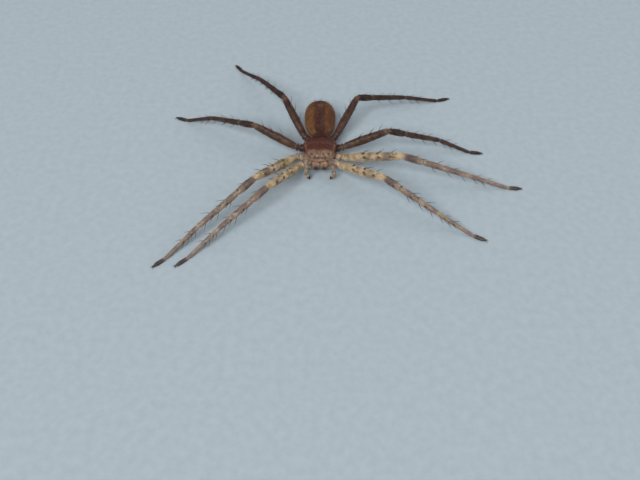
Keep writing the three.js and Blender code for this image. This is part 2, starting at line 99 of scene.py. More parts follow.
# %% Camera
CAMERA_AT = (0, -127.28, 132.28)
CAMERA_DIP = 53.16  # degrees below level
SENSOR_MM, LENS_MM = 36, 35.325
NEAR, FAR = 0.005, 20  # metres
camera_data = bpy.data.cameras.new("camera")
camera_data.sensor_width, camera_data.lens = SENSOR_MM, LENS_MM
camera_data.clip_start, camera_data.clip_end = NEAR, FAR
camera = bpy.data.objects.new("camera", camera_data)
camera.location = placed(CAMERA_AT)
camera.rotation_euler = (math.radians(90 - CAMERA_DIP), 0, 0)
bpy.context.scene.collection.objects.link(camera)
bpy.context.scene.camera = camera
print("camera at", [round(v, 4) for v in camera.location])

# %% [markdown]
# ## Small tools for curves and directions
# A limb is thick here and thin there, so its width is a smooth curve through a few chosen
# places. A curve object could carry it, but a function can be read at many places at once, and
# the same one shapes the skin and sets how long the hair is.

# %% Curves and directions


def unit(v):
    """A vector, or each row of many, made 1 long."""
    return v / np.maximum(np.linalg.norm(v, axis=-1, keepdims=True), 1e-12)


def curve_at(pairs, t):
    """A smooth curve through [place, value] pairs, read at t."""
    place, value = np.array(pairs, float).T
    slope = np.gradient(value, place)
    slope[1:-1] = (value[2:] - value[:-2]) / (place[2:] - place[:-2])
    i = np.clip(np.searchsorted(place, t, side="right") - 1, 0, len(place) - 2)
    span = place[i + 1] - place[i]
    s = np.clip((t - place[i]) / span, 0, 1)
    start = (2 * s**3 - 3 * s**2 + 1) * value[i] + (s**3 - 2 * s**2 + s) * span * slope[i]
    return start + (3 * s**2 - 2 * s**3) * value[i + 1] + (s**3 - s**2) * span * slope[i + 1]


def bump_at(t, middle, width):
    """A smooth bump of height 1 at the middle, gone two or three widths away."""
    return np.exp(-(((t - middle) / width) ** 2))


def between(t, low, high):
    """0 below low, 1 above high, and smooth in between."""
    s = np.clip((t - low) / (high - low), 0, 1)
    return s * s * (3 - 2 * s)


print("half way up a smooth step:", between(0.5, 0, 1))

# %% [markdown]
# ## Noise in space
# No two blotches on a spider are alike. A noise node in a material could draw them, and does so for
# the finest ones, but a node doesn't know where on a leg or a plate it is. So the noise in the
# markings is worked out at the points of the skin and kept there with them, and the hair later
# reads both at its roots.

# %% Noise
CELL_PRIMES = (73856093, 19349663, 83492791)  # large primes set neighbouring cells far apart
SEED_PRIME, MIX_PRIME = 9176, 1274126177
SEED_STEP = 17.31  # moves the pattern of each seed to another part of space


def cell_value(cell, seed):
    """A random value from 0 to 1 for each cell of a grid in space."""
    scattered = [cell[:, i] * prime for i, prime in enumerate(CELL_PRIMES)]
    h = scattered[0] ^ scattered[1] ^ scattered[2] ^ (seed * SEED_PRIME)
    h = (h ^ (h >> 13)) * MIX_PRIME
    return ((h ^ (h >> 16)) & 0xFFFF) / 0xFFFF


def noise_at(points, grain, seed):
    """Smooth random values from 0 to 1 in space, in lumps about grain millimetres across."""
    p = np.asarray(points) / grain + SEED_STEP * seed
    cell = np.floor(p).astype(np.int64)
    f = p - cell
    f = f * f * (3 - 2 * f)
    total = np.zeros(len(p))
    for corner in itertools.product((0, 1), repeat=3):
        share = np.prod(np.where(corner, f, 1 - f), axis=1)
        total += cell_value(cell + np.array(corner), seed) * share
    return total


print("noise test:", noise_at(np.zeros((1, 3)), 1.0, 3).round(3))

# %% [markdown]
# ## From rows of points to a closed skin
# Most of a spider is turned on an axis: legs, jaws and abdomen are rows of rings, closed with a
# point at each end. They could be swept along curve objects, but plain rows of points let each
# point carry what the later steps need. So a skin here is a small dictionary. It holds the
# surface, a flat unwrap of it (rings one way, round them the other), the way its hair lies, how
# long the hair is, how thickly it stands, and the markings.

# %% Faces between rings
UNWRAP_EDGE, UNWRAP_WIDE = 0.02, 0.96


def ring_faces(rows, sides):
    """Triangles between rings and round both poles, and the unwrap at each of their corners."""
    row, col = (g.ravel() for g in np.meshgrid(range(rows - 1), range(sides), indexing="ij"))
    here, beside = row * sides + col, row * sides + (col + 1) % sides
    one = np.stack([here, beside, beside + sides], 1)
    two = np.stack([here, beside + sides, here + sides], 1)
    row_of = [np.stack([row, row, row + 1], 1), np.stack([row, row + 1, row + 1], 1)]
    col_of = [np.stack([col, col + 1, col + 1], 1), np.stack([col, col + 1, col], 1)]
    k, last = np.arange(sides), (rows - 1) * sides
    after = (k + 1) % sides
    head = np.stack([after, k, np.full(sides, rows * sides)], 1)
    foot = np.stack([last + k, last + after, np.full(sides, rows * sides + 1)], 1)
    row_of += [np.zeros((sides, 3)), np.full((sides, 3), rows - 1)]
    col_of += [np.stack([k + 1, k, k + 0.5], 1), np.stack([k, k + 1, k + 0.5], 1)]
    unwrap = np.stack([np.vstack(row_of) / (rows - 1), np.vstack(col_of) / sides], 2)
    return np.vstack([one, two, head, foot]), UNWRAP_EDGE + UNWRAP_WIDE * unwrap


tris, unwrap = ring_faces(3, 8)
print("faces of three rings of eight:", len(tris), "unwrapped from", unwrap.min(), "to", unwrap.max())

# %% Skins


def turned_out(skin):
    """Turns the faces of a skin so that they face out."""
    a, b, c = (skin["points"][skin["tris"][:, i]] for i in range(3))
    if np.einsum("ij,ij->i", a, np.cross(b, c)).sum() < 0:
        skin["tris"] = skin["tris"][:, ::-1]
        skin["unwrap"] = skin["unwrap"][:, ::-1]
    return skin


def ring_skin(rings, lie=None, coat=None, grow=None, marks=None, tone=None):
    """A closed skin through rings of points (rows, sides, 3), with a pole at each end."""
    rows, sides, _ = rings.shape
    tris, unwrap = ring_faces(rows, sides)
    points = np.vstack([rings.reshape(-1, 3), rings[0].mean(0), rings[-1].mean(0)])
    skin = {"points": points, "tris": tris, "unwrap": unwrap}
    kept = {"lie": (lie, 3, 0), "coat": (coat, 1, 0), "grow": (grow, 1, 1)}
    kept.update(marks=(marks, 3, 0), tone=(tone, 1, 0))
    for key, (value, size, plain) in kept.items():
        value = np.full((rows * sides, size), plain) if value is None else value
        value = np.asarray(value, float).reshape(rows * sides, size)
        value = np.vstack([value, value[0], value[-1]])
        skin[key] = value if size == 3 else value[:, 0]
    return turned_out(skin)


def normals_of(points, tris):
    """The direction out of the surface at each point."""
    a, b, c = (points[tris[:, i]] for i in range(3))
    face = np.cross(b - a, c - a)
    total = np.zeros_like(points)
    for i in range(3):
        np.add.at(total, tris[:, i], face)
    return unit(total)


def joined(skins):
    """The points and faces of several skins as one list of each."""
    starts = np.cumsum([0] + [len(skin["points"]) for skin in skins[:-1]])
    tris = [skin["tris"] + start for skin, start in zip(skins, starts)]
    return np.vstack([skin["points"] for skin in skins]), np.vstack(tris)


# %% [markdown]
# ## From a skin to a piece
# Each piece is a mesh object. Its faces could be added one by one, but a coat has a hundred
# thousand of them, and whole arrays are far quicker. The markings go on the mesh as named values,
# where its material reads them.

# %% Pieces


def keep_values(mesh, name, kind, field, values):
    """Keeps a value at each point of a mesh, under a name that a material can read."""
    layer = mesh.attributes.new(name, kind, "POINT")
    layer.data.foreach_set(field, np.asarray(values, np.float32).ravel())


def mesh_of(name, points, tris):
    """A smooth mesh of triangles, from points in millimetres."""
    mesh = bpy.data.meshes.new(name)
    mesh.vertices.add(len(points))
    mesh.vertices.foreach_set("co", placed(points).astype(np.float32).ravel())
    mesh.loops.add(tris.size)
    mesh.loops.foreach_set("vertex_index", np.ascontiguousarray(tris, np.int32).ravel())
    mesh.polygons.add(len(tris))
    mesh.polygons.foreach_set("loop_start", np.arange(0, tris.size, 3, dtype=np.int32))
    mesh.polygons.foreach_set("use_smooth", np.ones(len(tris), bool))
    return mesh


def add_piece(name, points, tris, material, slot, replaces=(), marks=None, tone=None, unwrap=None):
    """A piece that rides on the one body, with its markings, tone and unwrap if it has them."""
    mesh = mesh_of(name, points, tris)
    if marks is not None:
        colours = np.hstack([np.clip(marks, 0, 1), np.ones((len(points), 1))])
        keep_values(mesh, "marks", "FLOAT_COLOR", "color", colours)
    if tone is not None:
        keep_values(mesh, "tone", "FLOAT", "value", tone)
    if unwrap is not None:
        layer = mesh.uv_layers.new(name="OFBake")
        layer.data.foreach_set("uv", unwrap.astype(np.float32).ravel())
    mesh.update(calc_edges=True)
    mesh.materials.append(material)
    piece = bpy.data.objects.new(name, mesh)
    bpy.context.scene.collection.objects.link(piece)
    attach(piece, "root")
    if replaces:
        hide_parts(*replaces)
    return piece


def add_skin(name, skin, material, slot, replaces):
    """A skin as a piece that takes the place of solids."""
    shape = (skin["points"], skin["tris"])
    return add_piece(name, *shape, material, slot, replaces, skin["marks"], skin["tone"])


# %% [markdown]
# ## Colours and material nodes
# Colours are written as sRGB hex values, as a paint chart gives them, and turned to the linear
# values that Blender mixes. A material could be built node by node in the editor. One small
# function that adds a node with its settings and its links is enough to build every finish below.

# %% Colours and nodes
MIX_SHARE, MIX_A, MIX_B, MIX_OUT = 0, 6, 7, 2  # where a Mix node keeps its share and its colours


def linear(hex_value):
    """An sRGB hex colour such as "8a7350" as linear red, green, blue and 1."""
    channels = [int(hex_value[i : i + 2], 16) / 255 for i in (0, 2, 4)]
    bright = [c / 12.92 if c <= 0.04045 else ((c + 0.055) / 1.055) ** 2.4 for c in channels]
    return (*bright, 1)


def put(tree, kind, inputs=None, **settings):
    """Adds a node with its settings. An input is a value, or another node's output to link."""
    made = tree.nodes.new("ShaderNode" + kind)
    for key, value in settings.items():
        setattr(made, key, value)
    for key, value in (inputs or {}).items():
        if isinstance(value, bpy.types.NodeSocket):
            tree.links.new(value, made.inputs[key])
        else:
            made.inputs[key].default_value = value
    return made


def mix(tree, share, first, second, blend="MIX"):
    """Mixes two colours. A share or colour is a value or a link, and a hex string is a colour."""
    first, second = (linear(c) if isinstance(c, str) else c for c in (first, second))
    inputs = {MIX_SHARE: share, MIX_A: first, MIX_B: second}
    return put(tree, "Mix", inputs, data_type="RGBA", blend_type=blend).outputs[MIX_OUT]


print("tan in linear light:", [round(c, 3) for c in linear("94876f")])

# %% Materials and patterns


def new_material(name, shader):
    """A material with one Principled shader, its values set on the shader's own sockets."""
    material = bpy.data.materials.new(name)
    material.use_nodes = True
    material.node_tree.nodes.clear()
    surface = put(material.node_tree, "BsdfPrincipled", shader)
    put(material.node_tree, "OutputMaterial", {"Surface": surface.outputs[0]})
    return material, material.node_tree, surface


def speckle(tree, size_mm, low, high, detail=3.0, stretch=None):
    """Noise with lumps of a size in millimetres, spread so that low is 0 and high is 1."""
    place = put(tree, "TexCoord").outputs["Object"]
    if stretch:
        place = put(tree, "Mapping", {"Vector": place, "Scale": stretch}).outputs[0]
    inputs = {"Vector": place, "Scale": 1 / (size_mm * MM), "Detail": detail}
    noise = put(tree, "TexNoise", inputs).outputs["Fac"]
    return put(tree, "MapRange", {"Value": noise, "From Min": low, "From Max": high}).outputs[0]


def coloured(tree, surface, colour):
    """Gives a colour to the shader."""
    tree.links.new(colour, surface.inputs["Base Color"])


def dented(tree, surface, height, depth_mm, strength):
    """Bump of a real depth on the shader's normal."""
    inputs = {"Height": height, "Distance": depth_mm * MM, "Strength": strength}
    tree.links.new(put(tree, "Bump", inputs).outputs[0], surface.inputs["Normal"])


# %% [markdown]
# ## Marked colours
# A spider's markings are pigment in and under the cuticle. They could be painted on an image, but
# masks kept in the mesh need no image and are the same for skin and hair. The masks are three:
# brown bands and blotches, pale rims and hinge skin, and black spots. A fourth value, the tone,
# leads over to a second plain colour: to the redder, darker hind legs, partly their own colour and
# partly painted shade, to the tan face, or to the ochre sides of the abdomen.

# %% Colours from the masks
FAR_SHADE = "a89a98"  # brown marks over the second plain colour darken it by this
PALE_THIN = 0.45  # the share of the colour below that shows through a pale mark
SPOT_BLACK = "1f1512"


def marked_colour(tree, plain, brown, pale, black, far):
    """The colour at each place, from the three masks and the tone."""
    masks = put(tree, "Attribute", attribute_name="marks").outputs["Color"]
    dark, light, spot = put(tree, "SeparateColor", {0: masks}).outputs[:3]
    tone = put(tree, "Attribute", attribute_name="tone").outputs["Fac"]
    far_brown = mix(tree, 1.0, far, FAR_SHADE, "MULTIPLY")
    body = mix(tree, dark, mix(tree, tone, plain, far), mix(tree, tone, brown, far_brown))
    body = mix(tree, light, body, mix(tree, PALE_THIN, pale, body))
    return mix(tree, spot, body, black)


# %% [markdown]
# ## Leg cuticle
# A leg's wall is cuticle, a tanned plate of chitin with a thin wax on it. Its shine could be made
# with a second glossy layer, but the wax is so thin that a little roughness says the same.

# %% Leg cuticle: tanned chitin, grown and waxed
# It grows in one piece with pores and fine wrinkles, so to the eye it is satin, not mirror-like.
# Chitin has an index of refraction of about 1.56. The wrinkles are some 0.02 mm apart on the
# real leg, and they are drawn four times as coarse so that they show.
CHITIN_IOR = 1.56
# The last of these is the hind legs' colour: partly their own redder brown, partly painted shade.
LEG_TAN, LEG_OLIVE, LEG_BROWN, LEG_HIND_RED_AND_SHADE = "b8a585", "8f8058", "705c55", "40211d"
HINGE_PALE, GRAIN_BROWN = "c4a07c", "4a3a2c"
OLIVE_PATCH = (1.6, 0.46, 0.62)  # size in millimetres, and where patches start and are full
WRINKLE_MM, WRINKLE_DEEP = 0.08, 0.03
GRAIN_MM, GRAIN_SHARE = 0.22, 0.35
leg_shader = {"IOR": CHITIN_IOR, "Roughness": 0.46, "Specular IOR Level": 0.35}
leg_cuticle, tree, surface = new_material("leg_cuticle", leg_shader)
tan = mix(tree, speckle(tree, *OLIVE_PATCH), LEG_TAN, LEG_OLIVE)
marked = marked_colour(tree, tan, LEG_BROWN, HINGE_PALE, SPOT_BLACK, LEG_HIND_RED_AND_SHADE)
grained = mix(tree, speckle(tree, GRAIN_MM, 0.3, 0.8), marked, GRAIN_BROWN, "MULTIPLY")
coloured(tree, surface, mix(tree, GRAIN_SHARE, marked, grained))
dented(tree, surface, speckle(tree, WRINKLE_MM, 0.2, 0.8, detail=4), WRINKLE_DEEP, 0.7)
print("leg cuticle nodes:", len(tree.nodes))

# %% [markdown]
# ## The pose of the legs
# Each leg has six joints: where its coxa leaves the chest, hip, knee, ankle, heel and toe. They
# could be listed as points, but a person poses a leg by its headings. So the pose gives the
# heading of each reach, in degrees forward of straight out, and the height of knee and ankle. The
# lengths are those of the solids, so the skin runs through their middles.

# %% Leg joints
LEG_LENGTHS = {  # femur, patella, tibia, metatarsus, tarsus, stoutness
    "1": (15.4, 5.4, 11.6, 10.8, 3.6, 1.0),
    "2": (17.2, 6.0, 13.6, 11.6, 3.6, 1.04),
    "3": (13.4, 5.0, 10.8, 9.8, 3.4, 0.95),
    "4": (13.6, 4.8, 12.0, 11.6, 3.6, 0.95),
}
COXAE = {"1": (45, 35), "2": (72, 14), "3": (104, -12), "4": (138, -50)}  # place round the chest, heading
POSE = {  # headings of femur, tibia and metatarsus, then heights of knee and ankle
    "R1": (56, 40, 41, 8.6, 4.0),
    "R2": (50, 41.5, 42.5, 9.0, 4.2),
    "R3": (-19, -30, -20, 8.4, 4.2),
    "R4": (-62, -60, -52, 8.8, 4.0),
    "L1": (38, 31, 27, 8.6, 4.0),
    "L2": (16, 9, 5, 9.0, 4.2),
    "L3": (-8, -3, 8, 8.4, 4.0),
    "L4": (-60, -21, -14, 8.8, 4.0),
}
COXA_LONG, COXA_RISE, COXA_HEIGHT, SOLE = 4.2, 0.3, 3.6, 0.4
CHEST_RING_WIDE, CHEST_RING_LONG, CHEST_RING_MIDDLE = 2.9, 4.2, 0.5


def side_of(name):
    """The sign along X of a leg's side."""
    return -1 if name[0] == "R" else 1


def reach(side, heading, rise, length):
    """One straight reach of a leg, from its heading and its change of height."""
    flat, turn = math.sqrt(length**2 - rise**2), math.radians(heading)
    return np.array([side * flat * math.cos(turn), -flat * math.sin(turn), rise])


def leg_joints(name):
    """A leg's six joints, from its root at the chest to the tip of its toe."""
    side = side_of(name)
    femur, patella, tibia, metatarsus, tarsus, _ = LEG_LENGTHS[name[1]]
    around, coxa_heading = COXAE[name[1]]
    to_knee, to_ankle, to_heel, knee_z, ankle_z = POSE[name]
    turn = math.radians(around)
    x = side * CHEST_RING_WIDE * math.sin(turn)
    y = CHEST_RING_MIDDLE - CHEST_RING_LONG * math.cos(turn)
    root = np.array([x, y, COXA_HEIGHT])
    hip = root + reach(side, coxa_heading, COXA_RISE, COXA_LONG)
    knee = hip + reach(side, to_knee, knee_z - hip[2], femur)
    ankle = knee + reach(side, to_ankle, ankle_z - knee[2], patella + tibia)
    heel = ankle + reach(side, to_heel, SOLE - ankle[2], metatarsus)
    return np.array([root, hip, knee, ankle, heel, heel + reach(side, to_heel, 0, tarsus)])


print("tip of leg R2 at", leg_joints("R2")[-1].round(1))

# %% [markdown]
# ## A limb as one skin
# Real legs are stiff tubes that meet in soft hinges. They could be made as separate tubes, but
# their ends would show as seams. So one tube of rings runs through them all. Its line turns in a
# short curve at each joint, and its girth has a groove with a raised rim on either side of each
# hinge.

# %% Limb line and girth
COAT_DEPTH = 0.12  # how far the skin lies inside the solid, to leave room for the hair
HINGE_TURN, TURN_SHARE = 0.8, 0.35  # half the length of a bend, and the most of a reach for it
GROOVE_DEEP, GROOVE_WIDE = 0.2, 0.24
RIM_HIGH, RIM_OFF = 0.05, 0.55


class Limb:
    """A limb's joints with its girth along it, read at a length from its root."""

    def __init__(self, joints, stations, side, carried=False, clear=SKIN_CLEAR):
        """Each station is a reach, a share along it, a half width and a half height."""
        self.joints, self.side, self.carried, self.clear = joints, side, carried, clear
        self.spans = np.linalg.norm(np.diff(joints, axis=0), axis=1)
        self.ways = np.diff(joints, axis=0) / self.spans[:, None]
        self.stops = np.append(0, np.cumsum(self.spans))
        self.total = self.stops[-1]
        self.hinges = []
        place = [self.at(i, share) for i, share, _, _ in stations]
        self.wides = list(zip(place, [wide for _, _, wide, _ in stations]))
        self.highs = list(zip(place, [high for _, _, _, high in stations]))

    def at(self, i, share):
        """The length from the root of a share along reach i."""
        return self.stops[i] + share * self.spans[i]

    def share(self, i, lengths):
        """The share along reach i of lengths from the root."""
        return (lengths - self.stops[i]) / self.spans[i]

    def bend(self, j, turn, t):
        """A point and direction on the curve that rounds joint j, read at t from 0 to 1."""
        before, after, middle = self.ways[j - 1], self.ways[j], self.joints[j]
        start, end = middle - before * turn, middle + after * turn
        point = (1 - t) ** 2 * start + 2 * t * (1 - t) * middle + t * t * end
        return point, unit((1 - t) * before + t * after)

    def line_at(self, length):
        """The point and direction of the middle line at one length."""
        i = int(np.clip(np.searchsorted(self.stops, length, side="right") - 1, 0, len(self.spans) - 1))
        for j in (i, i + 1):
            if 0 < j < len(self.joints) - 1:
                turn = min(HINGE_TURN, TURN_SHARE * self.spans[j - 1], TURN_SHARE * self.spans[j])
                t = 0.5 + (length - self.stops[j]) / (2 * turn)
                if 0 < t < 1:
                    return self.bend(j, turn, t)
        return self.joints[i] + self.ways[i] * (length - self.stops[i]), self.ways[i]

    def line(self, lengths):
        """Points and directions of the middle line."""
        points, ways = zip(*(self.line_at(length) for length in np.atleast_1d(lengths)))
        return np.array(points), np.array(ways)

    def cross(self, ways):
        """Across each direction: towards the front flank, and towards the back."""
        front = unit(-self.side * np.cross([0.0, 0.0, 1.0], ways))
        if self.carried:
            for i in range(1, len(front)):
                front[i] = unit(front[i - 1] - ways[i] * (front[i - 1] @ ways[i]))
        return front, unit(-self.side * np.cross(ways, front))

    def girth(self, lengths):
        """Half width and half height of the skin, with grooves and rims at the hinges."""
        shape = np.ones(len(lengths))
        for hinge in self.hinges:
            off = np.abs(lengths - hinge)
            groove, rim = bump_at(off, 0, GROOVE_WIDE), bump_at(off, RIM_OFF, GROOVE_WIDE)
            shape *= 1 - GROOVE_DEEP * groove + RIM_HIGH * rim
        wide = curve_at(self.wides, lengths) - COAT_DEPTH
        high = curve_at(self.highs, lengths) - COAT_DEPTH
        return wide * shape, high * shape

    def skin_at(self, i, share, around):
        """The point on the skin, the way out and the way along at one place of reach i."""
        length, turn = self.at(i, share), math.radians(around)
        centre, way = self.line_at(length)
        front, back = (v[0] for v in self.cross(way[None]))
        wide, high = (v[0] for v in self.girth(np.array([length])))
        out = unit(front * math.sin(turn) / wide + back * math.cos(turn) / high)
        return centre + front * wide * math.sin(turn) + back * high * math.cos(turn), out, way


# %% [markdown]
# ### Rings of a limb
# Rings every 0.3 mm are enough on a straight reach. A groove needs more, so they stand closer
# there, which costs less than making them close everywhere. The last rings shrink to a round tip.

# %% Rings of a limb
LIMB_SIDES = 28
RING_STEP, HINGE_ZONE, HINGE_RINGS, TIP_RINGS = 0.3, 0.9, 19, 6


def limb_rings(limb, root_sunk, tip_round):
    """Rings from inside the body to a rounded tip, with their lie, lengths and turns."""
    steps = np.arange(-root_sunk, limb.total, RING_STEP)
    close = [hinge + np.linspace(-HINGE_ZONE, HINGE_ZONE, HINGE_RINGS) for hinge in limb.hinges]
    lengths = np.unique(np.round(np.concatenate([steps, *close]), 3))
    lengths = lengths[(lengths > -root_sunk - 1e-6) & (lengths < limb.total - 0.02)]
    ending = limb.total + tip_round * np.sin(np.linspace(0, 0.5, TIP_RINGS) * np.pi)
    lengths = np.append(lengths, ending)
    centres, ways = limb.line(lengths)
    front, back = limb.cross(ways)
    wide, high = limb.girth(np.minimum(lengths, limb.total))
    over = np.clip((lengths - limb.total) / tip_round, 0, 1)
    round_off = np.sqrt(np.maximum(1 - over**2, 0.01))
    turns = np.arange(LIMB_SIDES) * 2 * math.pi / LIMB_SIDES
    sine, cosine = np.sin(turns)[None, :, None], np.cos(turns)[None, :, None]
    rings = centres[:, None] + front[:, None] * (wide * round_off)[:, None, None] * sine
    rings = rings + back[:, None] * (high * round_off)[:, None, None] * cosine
    rings[..., 2] = np.maximum(rings[..., 2], limb.clear)
    lie = np.broadcast_to(ways[:, None], rings.shape)
    lengths, turns = np.broadcast_arrays(lengths[:, None], turns)
    return rings, lie, lengths, turns


# %% The legs' girth
# Share along the segment, half width and half height, for a leg of stoutness 1.
COXA_GIRTHS = (
    (-0.2, 0.66, 0.92), (0.2, 0.88, 1.04), (0.6, 1.1, 1.08), (0.76, 0.94, 0.96), (0.9, 0.98, 1.02),
)
FEMUR_GIRTHS = (
    (0, 0.94, 0.98), (0.14, 1.08, 1.22), (0.4, 1.18, 1.34), (0.7, 1.08, 1.18), (0.88, 0.98, 1.02),
)
PATELLA_GIRTHS = ((0, 0.83, 0.87), (0.5, 0.96, 1.0), (0.86, 0.88, 0.9), (1, 0.74, 0.74))
TIBIA_GIRTHS = ((0.12, 0.84, 0.82), (0.55, 0.76, 0.74), (0.9, 0.7, 0.68))
METATARSUS_GIRTHS = ((0, 0.6, 0.6), (0.1, 0.66, 0.65), (0.6, 0.56, 0.55), (0.93, 0.52, 0.52))
TARSUS_GIRTHS = ((0, 0.48, 0.5), (0.35, 0.58, 0.54), (0.8, 0.54, 0.5), (1, 0.28, 0.28))
COXA_WAIST = 0.76  # the share of the coxa where its second piece, the trochanter, starts


def leg_limb(name):
    """A leg as a limb. Its third reach holds both patella and tibia, which stand in one line."""
    _, patella, tibia, _, _, fat = LEG_LENGTHS[name[1]]
    knee = patella / (patella + tibia)
    # A stout leg has a wider coxa, but no higher one.
    stations = [(0, share, wide * fat, high) for share, wide, high in COXA_GIRTHS]
    segments = (  # reach, where the segment starts and how much of the reach it takes, girths
        (1, 0, 1, FEMUR_GIRTHS), (2, 0, knee, PATELLA_GIRTHS), (2, knee, 1 - knee, TIBIA_GIRTHS),
        (3, 0, 1, METATARSUS_GIRTHS), (4, 0, 1, TARSUS_GIRTHS),
    )
    for i, start, part, girths in segments:
        stations += [(i, start + part * share, wide * fat, high * fat) for share, wide, high in girths]
    limb = Limb(leg_joints(name), stations, side_of(name))
    limb.knee_share = knee
    limb.hinges = [limb.at(0, COXA_WAIST), *limb.stops[1:3], limb.at(2, knee), *limb.stops[3:5]]
    return limb


LIMBS = {name: leg_limb(name) for name in POSE}
print("leg lengths:", {name: round(limb.total, 1) for name, limb in LIMBS.items()})

# %% [markdown]
# ## Where the spines stand
# The stiff black spines stand mostly in pairs, at the same places on every leg, and the cuticle has
# a black spot at the root of each. They could be scattered, but no spider's are. One table serves
# the spots and the spines. It holds the places of the solids' spines and three more on each leg.

# %% Spine places
SPOT_WIDE = {1: 0.34, 2: 0.2, 3: 0.2}  # the black spots are larger on the femur


def spine_places(limb):
    """Rows of (reach, share, degrees round, size) for one leg."""
    knee = limb.knee_share

    def shin(share):
        """A share of the tibia as a share of the reach that also holds the patella."""
        return knee + (1 - knee) * share

    rows = [(1, share, 0, 1.0) for share in (0.34, 0.58)]
    rows += [(1, share, flank, 1.0) for share in (0.36, 0.6, 0.8) for flank in (-58, 58)]
    rows += [(2, 0.55 * knee, flank, 0.85) for flank in (-78, 78)]
    rows += [(2, shin(0.42), 0, 0.85), (2, 0.9 * knee, 0, 0.6)]
    rows += [(2, shin(share), flank, 1.0) for share in (0.28, 0.66) for flank in (-72, 72)]
    rows += [(2, shin(share), flank, 1.0) for share in (0.2, 0.52, 0.84) for flank in (-148, 148)]
    rows += [(3, share, flank, 0.85) for share in (0.2, 0.46) for flank in (-76, 76)]
    return rows + [(3, share, flank, 0.8) for share in (0.12, 0.34) for flank in (-128, 128)]


print("spines on a leg:", len(spine_places(LIMBS["R1"])))

# %% [markdown]
# ## Markings of the legs
# The femur is tan with olive patches, lengthwise brown stripes and black dots. It has a
# mauve-brown band before the knee and a pale rim at its end. Knee, shin and foot are a dull
# pinkish brown with soft rings, the toes are almost black, and the hinge skin is pale. The hind
# legs are redder and darker, with less that is pale, partly by their own colour and partly by
# painted shade. All of this could be painted on each leg, but worked out from the place along the
# leg and round it, it is right on all eight.

# %% Brown marks of a leg
# How far each leg's colour goes over to the hind legs' darker red, partly own colour, partly painted shade.
HIND_SHARE_WITH_SHADE = {"1": 0.0, "2": 0.1, "3": 0.9, "4": 0.95}
BAND_STRONG = {"1": 0.35, "2": 0.9, "3": 0.6, "4": 0.6}
RING_APART, FIRST_RING = 6.5, 2.0


def femur_stripes(femur, turns):
    """Four stripes along the middle of the femur, at shares along it and at turns round it."""
    stripe = 0.5 + 0.5 * np.cos(4 * turns)
    return stripe * between(femur, 0.1, 0.2) * (1 - between(femur, 0.72, 0.8))


def leg_brown(name, limb, points, lengths, turns):
    """How brown each point of a leg is."""
    coxa, femur, shin, foot = (limb.share(i, lengths) for i in range(4))
    mottle, patches = noise_at(points, 0.7, 5), noise_at(points, 0.6, 21)
    upper = 0.5 + 0.5 * np.cos(turns)
    band, saddle, collar = (bump_at(femur, *at) for at in ((0.74, 0.07), (0.45, 0.04), (0.08, 0.05)))
    # The femur: a band before the knee, a saddle half way and a collar at the hip.
    brown = BAND_STRONG[name[1]] * band + 0.5 * saddle * upper + 0.45 * collar
    # Knee, shin and foot: brown all over in soft rings, darker at the heel.
    rings = 0.5 + 0.5 * np.cos(2 * math.pi * (lengths - limb.stops[2] - FIRST_RING) / RING_APART)
    brown += between(shin, 0.0, 0.03) * (0.6 + 0.4 * rings) + 0.3 * between(foot, 0.8, 1.0)
    # The coxa: mottled and darker all over, partly its own colour and partly painted shade under the body,
    # with a mark on its back.
    brown += (0.2 + 0.7 * between(mottle, 0.4, 0.7)) * (1 - between(coxa, 0.9, 1.0))
    brown += 0.5 * bump_at(coxa, 0.62, 0.05) * upper
    brown *= 0.7 + 0.6 * mottle
    return brown + 0.55 * femur_stripes(femur, turns) * between(patches, 0.35, 0.7)


# %% Pale and black marks of a leg


def leg_pale(name, limb, points, lengths, turns):
    """How pale each point of a leg is."""
    femur, toe = limb.share(1, lengths), limb.share(4, lengths)
    along = between(femur, 0.1, 0.2) * (1 - between(femur, 0.7, 0.8))
    pale = 0.5 * (1 - femur_stripes(femur, turns)) * along * noise_at(points, 0.5, 8)
    # The rim at the end of the femur, then the hinge skin.
    pale += 0.85 * bump_at(femur, 0.94, 0.03)
    for hinge in limb.hinges:
        pale += 0.35 * bump_at(lengths, hinge, 0.25)
    # Hind legs get fewer pale marks, which is part of their painted shade.
    return pale * (1 - between(toe, 0, 0.1)) * (1 - 0.75 * HIND_SHARE_WITH_SHADE[name[1]])


def leg_black(limb, points, lengths):
    """How black each point of a leg is: toe, knee and a spot at each spine."""
    shin, toe, knee = limb.share(2, lengths), limb.share(4, lengths), limb.knee_share
    black = 0.75 * between(toe, 0.05, 0.3) + 0.4 * bump_at(shin, 0.3 * knee, 0.25 * knee)
    for i, share, around, size in spine_places(limb):
        root, _, _ = limb.skin_at(i, share, around)
        off = np.linalg.norm(points - root, axis=1)
        black += 1.2 * bump_at(off, 0, SPOT_WIDE[i] * size)
    return black


